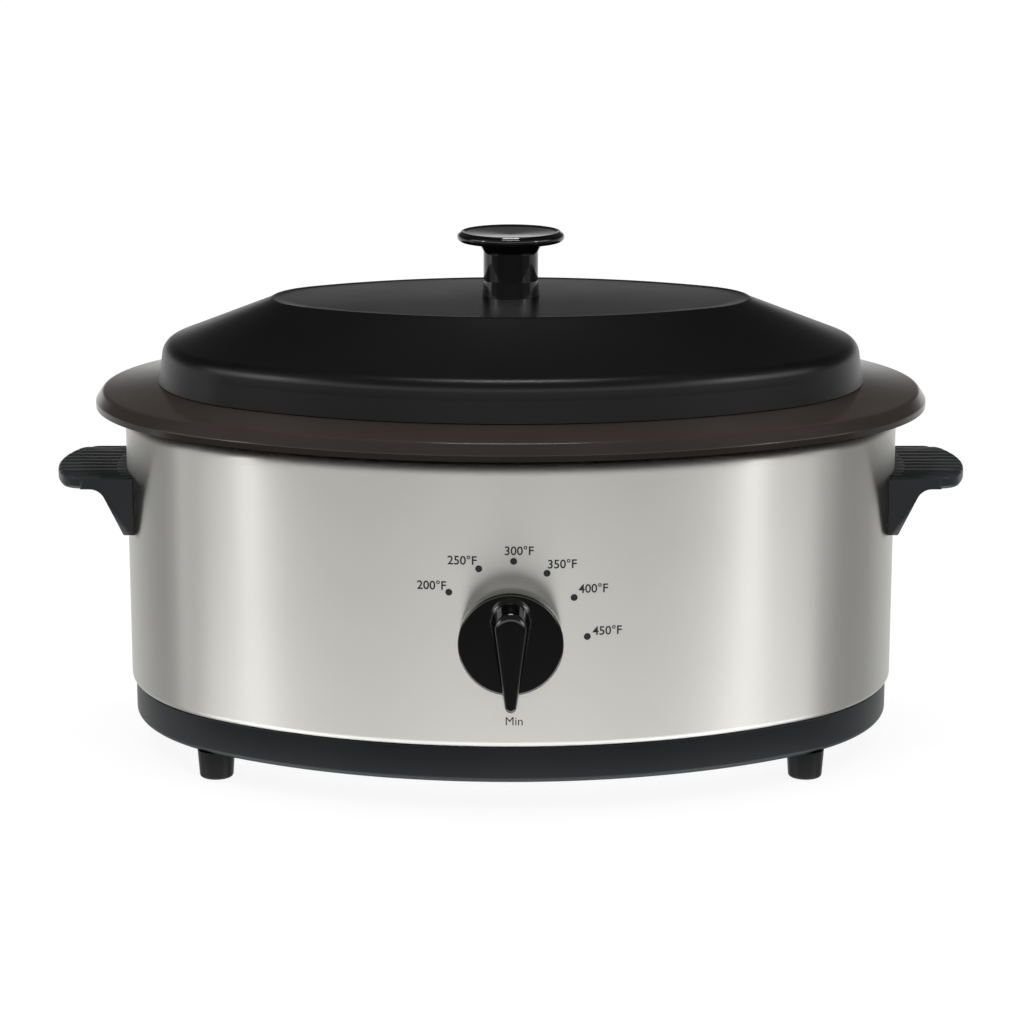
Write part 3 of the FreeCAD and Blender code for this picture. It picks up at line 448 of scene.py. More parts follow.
@dataclass(frozen=True)
class Oval:
    """The family of parallel four-arc ovals that the whole oven shares."""

    centre_y: float
    end_centre_x: float = 78.7
    length_over_width: float = 55.0
    end_steps: int = 60
    side_steps: int = 68

    @property
    def side_centre_y(self) -> float:
        """Distance of the side arcs' centres from the middle."""
        over = self.length_over_width
        return (2 * over * self.end_centre_x - over ** 2) / (2 * (self.end_centre_x - over))

    @property
    def side_extra(self) -> float:
        """How much larger the side arcs' radius is than the end arcs'."""
        return math.hypot(self.end_centre_x, self.side_centre_y)

    @property
    def turn(self) -> float:
        """Angle from +X at which an end arc meets a side arc."""
        return math.atan2(self.side_centre_y, self.end_centre_x)

    def ring(self, reach: float, z: float, half_width: float | None = None) -> Ring:
        """Return one oval ring.

        Args:
            reach: Half its length.
            z: Its height.
            half_width: Half its width, or none for the parallel family.

        Returns:
            The ring's points, counter-clockwise from above.
        """
        half = reach - self.length_over_width if half_width is None else half_width
        cosine, sine = math.cos(self.turn), math.sin(self.turn)
        spread = (reach - half) / (cosine + sine - 1)
        end_radius = reach - spread * cosine
        arcs = [(spread * cosine, 0.0, end_radius, -self.turn, self.turn, self.end_steps),
                (0.0, -spread * sine, end_radius + spread, self.turn, math.pi - self.turn,
                 self.side_steps)]
        points: Ring = []
        for flip in (1, -1):
            for x, y, radius, start, stop, steps in arcs:
                for step in range(steps):
                    angle = start + (stop - start) * step / steps
                    across = flip * (x + radius * math.cos(angle))
                    deep = flip * (y + radius * math.sin(angle))
                    points.append(Vector((across, deep + self.centre_y, z)))
        return points

    def rings(self, outline: Outline) -> list[Ring]:
        """Return a ring for each (reach, height) point of an outline."""
        return [self.ring(reach, z) for reach, z in outline]

    def front_wall_y(self, reach: float, x: float) -> float:
        """Return the Y of an upright wall's front at one X."""
        radius = reach - self.end_centre_x + self.side_extra
        return self.centre_y + self.side_centre_y - math.sqrt(radius ** 2 - x ** 2)


STEEL_LOW, STEEL_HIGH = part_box("body_shell")
OVAL = Oval((STEEL_LOW.y + STEEL_HIGH.y) / 2 / MM)


ORIGIN = Vector((0.0, 0.0, 0.0))


def turned_rings(outline: Outline, centre: Vector, steps: int = 96) -> list[Ring]:
    """Return round rings for an outline of (radius, height) points about an upright axis."""
    rings = []
    for radius, height in outline:
        ring = []
        for step in range(steps):
            angle = 2 * math.pi * step / steps
            offset = Vector((radius * math.cos(angle), radius * math.sin(angle), height))
            ring.append(centre + offset)
        rings.append(ring)
    return rings


@dataclass(frozen=True)
class Place:
    """Where one repeat of a unit stands: millimetres, a turn and a stretch."""

    at: tuple[float, float, float]
    turn: tuple[float, float, float] = (0.0, 0.0, 0.0)
    stretch: tuple[float, float, float] = (1.0, 1.0, 1.0)


class Repeater:
    """Sets copies of one unit at places with a Geometry Nodes tree."""

    attributes = ("turn", "stretch")

    def __init__(self) -> None:
        """Build the tree: places become instances, then real faces of one material."""
        tree = bpy.data.node_groups.new("set_units", "GeometryNodeTree")
        face = tree.interface
        face.new_socket("Geometry", in_out="INPUT", socket_type="NodeSocketGeometry")
        self.unit_socket = face.new_socket("Unit", in_out="INPUT", socket_type="NodeSocketObject")
        self.material_socket = face.new_socket("Finish", in_out="INPUT",
                                               socket_type="NodeSocketMaterial")
        face.new_socket("Geometry", in_out="OUTPUT", socket_type="NodeSocketGeometry")
        source = add_node(tree, "NodeGroupInput")
        unit = add_node(tree, "GeometryNodeObjectInfo", links={"Object": source.outputs["Unit"]})
        turn, stretch = (add_node(tree, "GeometryNodeInputNamedAttribute",
                                  {"data_type": "FLOAT_VECTOR"}, values={"Name": attribute})
                         for attribute in self.attributes)
        turned = add_node(tree, "FunctionNodeEulerToRotation",
                          links={"Euler": turn.outputs["Attribute"]})
        copies = add_node(tree, "GeometryNodeInstanceOnPoints", links={
            "Points": source.outputs["Geometry"], "Instance": unit.outputs["Geometry"],
            "Rotation": turned.outputs["Rotation"], "Scale": stretch.outputs["Attribute"]})
        real = add_node(tree, "GeometryNodeRealizeInstances",
                        links={"Geometry": copies.outputs["Instances"]})
        finished = add_node(tree, "GeometryNodeSetMaterial", links={
            "Geometry": real.outputs["Geometry"], "Material": source.outputs["Finish"]})
        add_node(tree, "NodeGroupOutput", links={"Geometry": finished.outputs["Geometry"]})
        self.tree = tree

    def repeat(self, name: str, unit: Piece, places: Sequence[Place],
               finish: Finish) -> Piece:
        """Set the unit at every place and return one plain mesh; the unit is used up.

        Args:
            name: The new object's name.
            unit: The piece to repeat.
            places: Where its copies stand.
            finish: Their finish.

        Returns:
            The new object.
        """
        mesh = bpy.data.meshes.new(name)
        mesh.from_pydata([Vector(place.at) * MM for place in places], [], [])
        for attribute in self.attributes:
            values = [value for place in places for value in getattr(place, attribute)]
            layer = mesh.attributes.new(attribute, "FLOAT_VECTOR", "POINT")
            layer.data.foreach_set("vector", values)
        holder = placed(name, mesh)
        modifier = holder.modifiers.new("set_units", "NODES")
        modifier.node_group = self.tree
        modifier[self.unit_socket.identifier] = unit
        modifier[self.material_socket.identifier] = finish.build()
        solid = plain_mesh(holder)
        for attribute in self.attributes:
            if attribute in solid.data.attributes:
                solid.data.attributes.remove(solid.data.attributes[attribute])
        bpy.data.objects.remove(unit)
        return solid


def merged(name: str, pieces: Sequence[Piece]) -> Piece:
    """Join meshes to one object and drop the originals."""
    work = bmesh.new()
    for piece in pieces:
        work.from_mesh(piece.data)
        bpy.data.objects.remove(piece)
    return from_bmesh(name, work)


def node_span(node: str) -> tuple[Vector, Vector]:
    """Return a frame node's lowest and highest corners in millimetres."""
    low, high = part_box(node)
    return low / MM, high / MM


def pan_head(name: str, head_radius: float, head_height: float) -> Piece:
    """Return a pan-head screw's head with a cross recess, its seat at z = 0, facing -Z."""
    seat, waist, shoulder, crown = (share * head_radius for share in (0.98, 1.0, 0.72, 0.5))
    arm, slot = 1.04 * head_radius, 0.26 * head_radius
    outline = rounded([(seat, 0.0, 0.0), (waist, -head_height * 0.35, 0.4),
                       (shoulder, -head_height, head_height * 0.5),
                       (crown, -head_height, 0.0)], 4)
    head = skin(name, turned_rings(outline, ORIGIN, 40))
    cutter_mesh = bmesh.new()
    for size in ((arm, slot), (slot, arm)):
        cube = bmesh.ops.create_cube(cutter_mesh, size=1.0)
        scale = Matrix.Diagonal((size[0] * MM, size[1] * MM, head_height * 1.1 * MM, 1.0))
        drop = Matrix.Translation((0, 0, -head_height * MM))
        bmesh.ops.transform(cutter_mesh, matrix=drop @ scale, verts=cube["verts"])
    cutter = from_bmesh(name + "_recess", cutter_mesh)
    carve = head.modifiers.new("recess", "BOOLEAN")
    carve.object = cutter
    carve.operation = "DIFFERENCE"
    carve.solver = "EXACT"
    carve.use_self = True
    head = plain_mesh(head)
    bpy.data.objects.remove(cutter)
    return head


@dataclass
class SteelBody:
    """The brushed body, the base moulding, the feet and the underside."""

    oval: Oval
    repeater: Repeater
    sheet: float = 0.8
    curl: float = 3.5
    curl_radius: float = 3.2
    shoulder_radius: float = 5.0
    top_width: float = 13.5
    base_inset: float = 2.0
    base_floor_width: float = 21.0
    base_floor: float = 3.0
    base_wall: float = 2.5
    base_edge_radius: float = 3.0
    base_gap: float = 0.3
    foot_edge_radius: float = 1.5
    foot_taper: float = 1.0
    foot_sunk: float = 0.05
    foot_hub: float = 0.5
    screw_head_radius: float = 3.4
    screw_head_height: float = 1.8
    screw_turn: float = 0.4
    screws_apart: float = 13.6

    def build(self) -> None:
        """Build and dress every piece."""
        self.shell()
        self.base()
        self.feet()
        self.underside()

    @property
    def reach(self) -> float:
        """Half the steel body's length."""
        low, high = node_span("body_shell")
        return (high.x - low.x) / 2

    def shell(self) -> None:
        """The drawn steel body."""
        low, high = node_span("body_shell")
        corners = [(self.reach - self.curl, low.z, 0.0), (self.reach, low.z, self.curl_radius),
                   (self.reach, high.z, self.shoulder_radius),
                   (self.reach - self.top_width, high.z, 0.0)]
        rings = self.oval.rings(sheet_section(corners, self.sheet, 8))
        dress(skin("steel_body", rings, wrapped=True), STEEL, Body.HOUSING, ("body_shell",))

    def base(self) -> None:
        """The base moulding with its rounded lower edge."""
        low, high = node_span("base_pan")
        ledge = node_span("body_shell")[0].z - self.base_gap
        reach = self.reach - self.base_inset
        floor_in = reach - self.base_floor_width
        wall_in = self.reach - self.curl - self.base_gap
        inner = wall_in - self.base_wall
        corners = [(floor_in, low.z, 0.0), (reach, low.z, self.base_edge_radius),
                   (reach, ledge, 0.5), (wall_in, ledge, 0.0),
                   (wall_in, high.z, 0.4), (inner, high.z, 0.4),
                   (inner, low.z + self.base_floor, 0.0),
                   (floor_in, low.z + self.base_floor, 0.0)]
        rings = self.oval.rings(rounded(corners, 6))
        dress(skin("base_moulding", rings, wrapped=True), BASE, Body.HOUSING, ("base_pan",))

    def feet(self) -> None:
        """Four tapered feet."""
        for corner in ("front_left", "front_right", "rear_left", "rear_right"):
            low, high = node_span("foot_" + corner)
            centre = Vector(((low.x + high.x) / 2, (low.y + high.y) / 2, 0.0))
            top = (high.x - low.x) / 2
            height = node_span("base_pan")[0].z + self.foot_sunk
            outline = rounded([(self.foot_hub, 0.0, 0.0),
                               (top - self.foot_taper, 0.0, self.foot_edge_radius),
                               (top, height, 0.0), (self.foot_hub, height, 0.0)], 6)
            foot = skin("moulded_foot_" + corner, turned_rings(outline, centre, 48))
            dress(foot, FOOT_PAINTED_SHADE, Body.HOUSING, ("foot_" + corner,))

    def underside(self) -> None:
        """The bottom plate and the screws' heads."""
        smooth_copy("bottom_plate", PLATED, Body.HOUSING)
        for node, seat_node in (("rim_screws", "base_pan"), ("bracket_screws", "bottom_plate")):
            seat = node_span(seat_node)[0].z
            places = [Place((x, y, seat), (0, 0, self.screw_turn * number))
                      for number, (x, y) in enumerate(self.screw_places(node))]
            unit = pan_head(node + "_unit", self.screw_head_radius, self.screw_head_height)
            heads = self.repeater.repeat(node + "_heads", unit, places, PLATED)
            dress(heads, PLATED, Body.HOUSING, (node,))

    def screw_places(self, node: str) -> list[tuple[float, float]]:
        """Return the middles of a node's separate screws, read from the frame."""
        groups: list[Outline] = []
        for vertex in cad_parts[node].data.vertices:
            spot = (vertex.co.x / MM, vertex.co.y / MM)
            for group in groups:
                if math.dist(group[0], spot) < self.screws_apart:
                    group.append(spot)
                    break
            else:
                groups.append([spot])
        return [((min(xs) + max(xs)) / 2, (min(ys) + max(ys)) / 2)
                for xs, ys in (zip(*group) for group in groups)]


@dataclass
class Heating:
    """The liner, its seat, and everything hidden between the liner and the body."""

    def build(self) -> None:
        """Dress the pieces; most of them are hidden inside."""
        housing = Body.HOUSING
        smooth_copy("heating_liner", LINER, housing)
        smooth_copy("seat_ring", SEAT_PAINTED_SHADE, housing)
        for node, finish in (("liner_brackets", PLATED), ("heat_shield", REFLECTOR),
                             ("ceramic_spacers", CERAMIC), ("mica_band", MICA),
                             ("heater_ribbons", RIBBON), ("heater_strap", PLATED),
                             ("insulation_blanket", WOOL)):
            paint_node(node, finish)


@dataclass
class Electrics:
    """The thermostat, leads, fuse, terminal block and the cord gland."""

    def build(self) -> None:
        """Dress the fittings; only the gland shows from outside."""
        smooth_copy("cord_gland", NYLON, Body.HOUSING)
        for node, finish in (("thermostat_body", WORKS), ("thermostat_nut", PLATED),
                             ("terminal_block", CERAMIC), ("terminal_screws", PLATED),
                             ("gland_nut", NYLON), ("lead_live", SLEEVE),
                             ("lead_heater", SLEEVE), ("lead_fuse", SLEEVE),
                             ("lead_neutral", SLEEVE), ("thermal_fuse", FUSE),
                             ("fuse_saddle", PLATED), ("handle_screws", PLATED),
                             ("thermostat_shaft", PLATED)):
            paint_node(node, finish)


@dataclass
class Cookwell:
    """The enamelled pan with its broad rim, and the wire rack in it."""

    oval: Oval
    sheet: float = 1.2
    lip_height: float = 3.0
    crest_in: float = 3.6
    crest_up: float = 5.4
    flange_rise: float = 3.0
    bead_foot: float = 1.6
    bead_height: float = 3.0
    mouth_to_rim: float = 38.4
    draft: float = 7.2
    corner: float = 14.0
    lid_edge_over_mouth: float = 5.05
    core_margin: float = 21.3

    def build(self) -> None:
        """Build the pan and the rack."""
        self.pan()
        self.rack()

    def pan(self) -> None:
        """The drawn, enamelled pan."""
        low, high = node_span("cookwell")
        rim = (high.x - low.x) / 2
        mouth = rim - self.mouth_to_rim
        lip_bottom = high.z - self.bead_height - self.flange_rise - self.crest_up - self.lip_height
        crest_z = lip_bottom + self.lip_height + self.crest_up
        flange_in = mouth + self.lid_edge_over_mouth
        flange_z = crest_z + self.flange_rise
        floor_z = low.z + self.sheet
        core = self.oval.end_centre_x + self.core_margin
        corners = [(core, floor_z, 0.0), (mouth - self.draft, floor_z, self.corner),
                   (mouth, high.z, 1.5), (flange_in - self.bead_foot, high.z, 1.0),
                   (flange_in, flange_z, 0.8), (rim - self.crest_in, crest_z, 2.5),
                   (rim, lip_bottom + self.lip_height, 1.5), (rim, lip_bottom, 0.0)]
        rings = self.oval.rings(sheet_section(corners, -self.sheet, 8))
        dress(skin("enamelled_cookwell", rings), RIM_ENAMEL, Body.COOKWELL, ("cookwell",))

    def rack(self) -> None:
        """The chromed wire rack; its shape is the frame's."""
        smooth_copy("roasting_rack", CHROME, Body.RACK)


@dataclass
class Lid:
    """The pressed lid with its crease and near-flat crown, and the tall knob on it."""

    oval: Oval
    sheet: float = 1.0
    draft: float = 1.7
    wall_height: float = 19.0
    wall_bend: float = 0.55
    shoulder_in: float = 1.2
    shoulder_radius: float = 8.0
    ridge_inset: float = 58.0
    ridge_height: float = 40.8
    crease_width: float = 1.6
    crease_height: float = 0.35
    crease_out: float = 0.5
    crease_in: float = 0.3
    crown_rise: float = 1.0
    crown_power: float = 1.8
    crown_rows: int = 14
    middle_share: float = 0.06
    knob_steps: int = 128
    stem_radius: float = 13.8
    stem_flare: float = 0.7
    stem_height: float = 26.4
    stem_low: float = 0.3
    stem_high: float = 0.85
    stem_blend: float = 4.0
    hub: float = 0.3
    cap_radius: float = 27.0
    cap_height: float = 5.45
    cap_under: float = 1.3
    bead_radius: float = 24.6
    bead: float = 0.9
    dish: float = 1.2

    def build(self) -> None:
        """Build the lid and the knob."""
        self.shell()
        self.knob()
        smooth_copy("lid_knob_washer", PLATED, Body.LID)
        smooth_copy("lid_knob_screw", PLATED, Body.LID)

    def shell(self) -> None:
        """The pressed and enamelled lid."""
        low, high = node_span("lid_shell")
        edge = (high.x - low.x) / 2
        wall = edge - self.draft
        ridge, ridge_z = edge - self.ridge_inset, low.z + self.ridge_height
        corners = [(edge, low.z, 0.0), (wall, low.z + self.wall_height * self.wall_bend, 2.0),
                   (wall - self.shoulder_in, low.z + self.wall_height, self.shoulder_radius),
                   (ridge, ridge_z, 0.0)]
        slope = rounded(corners, 8)
        fall = (ridge_z - slope[-2][1]) / (slope[-2][0] - ridge)
        outer = [self.oval.ring(reach, z) for reach, z in slope[:-1]]
        for out, up in ((self.crease_width, -fall * self.crease_width),
                        (self.crease_out, self.crease_height * 0.6),
                        (-self.crease_in, self.crease_height), (-self.crease_width, 0.0)):
            outer.append(self.oval.ring(ridge + out, ridge_z + up))
        inner = [self.oval.ring(reach, z) for reach, z in rounded(shifted(corners, self.sheet), 8)]
        crown = self.crown(ridge, ridge_z, 0.0)
        lining = self.crown(ridge, ridge_z, self.sheet)
        rings = crown[::-1] + outer[::-1] + inner + lining
        dress(skin("enamelled_lid", rings), LID_ENAMEL, Body.LID, ("lid_shell",),
              smooth_degrees=50.0)

    def crown(self, ridge: float, ridge_z: float, inside: float) -> list[Ring]:
        """Return the crown's rings from the ridge inwards, set in by the sheet."""
        half = ridge - self.oval.length_over_width
        rings = []
        for row in range(1, self.crown_rows + 1):
            share = 1 - (1 - self.middle_share) * row / self.crown_rows
            rise = self.crown_rise * (1 - share ** self.crown_power)
            rings.append(self.oval.ring(ridge * share, ridge_z + rise - inside, half * share))
        return rings

    def knob(self) -> None:
        """The glossy knob: tall stem, thin wide cap, raised ring and shallow dish."""
        base = node_span("lid_knob")[0].z
        under = base + self.stem_height
        top = under + self.cap_height
        corners = [(self.hub, base, 0.0), (self.stem_radius + self.stem_flare, base, 0.0),
                   (self.stem_radius, base + self.stem_height * self.stem_low, self.stem_blend),
                   (self.stem_radius, base + self.stem_height * self.stem_high, self.stem_blend),
                   (self.stem_radius + 3 * self.stem_flare, under, 1.0),
                   (self.cap_radius, under + self.cap_under, 2.2),
                   (self.cap_radius, top - self.bead, 2.0),
                   (self.bead_radius + self.bead, top, 1.0),
                   (self.bead_radius, top + self.bead, 0.8),
                   (self.bead_radius - 2 * self.bead, top, 1.2),
                   (self.hub, top - self.dish, 0.0)]
        centre = Vector((0.0, self.oval.centre_y, 0.0))
        knob = skin("lid_grip", turned_rings(rounded(corners, 8), centre, self.knob_steps))
        dress(knob, PHENOLIC, Body.LID, ("lid_knob",))


@dataclass
class Handles:
    """The two moulded end handles."""

    def build(self) -> None:
        """Dress the handles."""
        for side in ("left", "right"):
            smooth_copy("handle_" + side, GRIP, Body.HOUSING)


@dataclass
class Mark:
    """One printed mark of the dial's scale: where its dot and its label stand."""

    label: str
    dot: tuple[float, float]
    text: tuple[float, float]


@dataclass
class Dial:
    """The control dial with its pointer grip, and the printed scale round it."""

    oval: Oval
    repeater: Repeater
    reach: float
    gap: float = 1.0
    depth: float = 10.5
    edge_radius: float = 1.3
    grip_rise: float = 9.0
    radius: float = 24.6
    front_radius: float = 24.9
    dial_z: float = 86.0
    grip_top: float = 21.4
    grip_top_radius: float = 8.3
    grip_tip: float = 31.4
    grip_tip_radius: float = 3.2
    grip_edge: float = 2.4
    top_slope: float = 5.0
    flare: float = 2.4
    flare_rows: int = 6
    flare_sunk: float = 0.5
    flare_margin: float = 1.0
    flare_fade: float = 5.0
    grip_root: tuple[float, float] = (0.4, 0.8)
    grip_sunk: float = 2.0
    grip_draft: float = 0.6
    grip_cap: tuple[float, float] = (0.3, 0.02)
    edge_rows: int = 8
    tip_share: float = 0.7
    arc_steps: int = 32
    disc_steps: int = 128
    hub: float = 0.3
    ink: float = 0.05
    ink_sunk: float = 0.01
    dot_radius: float = 1.65
    dot_hub: float = 0.1
    letter_height: float = 5.9
    marks: list[Mark] = field(default_factory=lambda: [
        Mark("200", (-29.1, 22.3), (-37.2, 25.2)),
        Mark("250", (-15.0, 33.9), (-22.8, 37.6)),
        Mark("300", (1.35, 37.6), (3.9, 42.4)),
        Mark("350", (17.0, 31.7), (24.1, 35.8)),
        Mark("400", (29.8, 19.7), (38.9, 23.6)),
        Mark("450", (36.1, 0.5), (45.6, 2.9))])
    lowest: Mark = field(default_factory=lambda: Mark("Min", (0.0, 0.0), (1.6, -40.6)))

    def build(self) -> None:
        """Build the dial and print its scale."""
        self.disc_and_grip()
        self.scale()

    @property
    def back_y(self) -> float:
        """Y of the dial's back face."""
        return self.oval.front_wall_y(self.reach, 0.0) - self.gap

    def disc_and_grip(self) -> None:
        """The dial's disc and, joined to it, the tapered grip that points at the scale."""
        face = self.depth
        outline = rounded([(self.hub, 0.0, 0.0), (self.radius, 0.0, 0.6),
                           (self.front_radius, face, self.edge_radius), (self.hub, face, 0.0)], 8)
        disc = skin("dial_disc", self.faced(turned_rings(outline, ORIGIN, self.disc_steps)))
        grip = skin("dial_grip", self.faced(self.grip_rings()))
        joined = merged("control_dial", [disc, grip])
        dress(joined, PHENOLIC, Body.DIAL, ("control_knob",))

    def faced(self, rings: list[Ring]) -> list[Ring]:
        """Turn rings built along +Z so that they face the front at the dial's place."""
        moved = []
        for ring in rings:
            moved.append([Vector((p.x, self.back_y - p.z, self.dial_z + p.y)) for p in ring])
        return moved

    def grip_rings(self) -> list[Ring]:
        """Return the grip's rings, from a concave flare on the disc to a soft top edge."""
        face = self.depth
        top = self.depth + self.grip_rise
        rows = [(*self.grip_root, 0.0), (0.0, face - self.grip_sunk, 0.0)]
        for step in range(self.flare_rows + 1):
            share = step / self.flare_rows
            rows.append((0.0, face - self.flare_sunk + self.flare * share, (1 - share) ** 2))
        for step in range(self.edge_rows + 1):
            angle = math.pi / 2 * step / self.edge_rows
            inset = self.grip_draft + self.grip_edge * (1 - math.cos(angle))
            rows.append((inset, top - self.grip_edge * (1 - math.sin(angle)), 0.0))
        inset, rise = self.grip_cap
        rows.append((self.grip_draft + self.grip_edge + inset, top + rise, 0.0))
        return [self.grip_ring(inset, height, spread) for inset, height, spread in rows]

    def grip_ring(self, inset: float, height: float, spread: float) -> Ring:
        """Return one tapered ring of the grip.

        Args:
            inset: How far it lies inside the grip's foot.
            height: Its height from the dial's back.
            spread: The share of the flare, which fades out beyond the disc.

        Returns:
            The ring's points.
        """
        slope = max(height - self.depth, 0.0) / self.grip_rise
        high_y = self.grip_top - self.grip_top_radius - self.top_slope * slope
        low_y = -self.grip_tip + self.grip_tip_radius
        wide = self.grip_top_radius - inset
        narrow = self.grip_tip_radius - inset * self.tip_share
        lean = math.asin((wide - narrow) / (high_y - low_y))
        points = []
        for centre, radius, start, stop in ((high_y, wide, -lean, math.pi + lean),
                                            (low_y, narrow, math.pi + lean, 2 * math.pi - lean)):
            for step in range(self.arc_steps + 1):
                angle = start + (stop - start) * step / self.arc_steps
                x = radius * math.cos(angle)
                y = centre + radius * math.sin(angle)
                inside = y + self.front_radius - self.flare_margin
                keep = min(max(inside / self.flare_fade, 0.0), 1.0)
                out = self.flare * spread * keep
                x += out * math.cos(angle)
                y += out * math.sin(angle)
                points.append(Vector((x, y, height)))
        return points

    def scale(self) -> None:
        """Print the dots, the numbers with their degree signs, and the lowest setting's word."""
        dot_outline = [(self.dot_hub, 0.0), (self.dot_radius, 0.0),
                       (self.dot_radius, self.ink), (self.dot_hub, self.ink)]
        unit = skin("dot_unit", turned_rings(dot_outline, ORIGIN, 32))
        places = []
        for mark in self.marks:
            x, up = mark.dot
            y = self.oval.front_wall_y(self.reach, x)
            lean = math.asin(x / (self.reach - self.oval.end_centre_x + self.oval.side_extra))
            places.append(Place((x, y + self.ink_sunk, self.dial_z + up), (math.pi / 2, 0.0, lean)))
        dots = self.repeater.repeat("scale_dots", unit, places, INK)
        dress(dots, INK, Body.HOUSING)
        words = [self.lettering(mark.label + "°F", mark.text, Weight.BOLD) for mark in self.marks]
        words.append(self.lettering(self.lowest.label, self.lowest.text, Weight.LIGHT))
        dress(merged("scale_lettering", words), INK, Body.HOUSING)

    def lettering(self, text: str, centre: tuple[float, float], weight: Weight) -> Piece:
        """Print one word on the curved front wall.

        Args:
            text: The word.
            centre: Its middle, across and up from the dial's centre.
            weight: How boldly it is printed.

        Returns:
            The word as a thin solid mesh.
        """
        curve = bpy.data.curves.new("word", "FONT")
        curve.body = text
        curve.size = self.letter_height * MM
        curve.align_x = "CENTER"
        curve.align_y = "CENTER"
        curve.offset = weight.value * MM
        curve.extrude = self.ink * MM / 2
        curve.resolution_u = 4
        word = plain_mesh(placed("word", curve))
        for vertex in word.data.vertices:
            x = vertex.co.x / MM + centre[0]
            z = vertex.co.y / MM + centre[1] + self.dial_z
            y = self.oval.front_wall_y(self.reach, x) - vertex.co.z / MM - self.ink / 2
            vertex.co = Vector((x, y + self.ink_sunk, z)) * MM
        return word


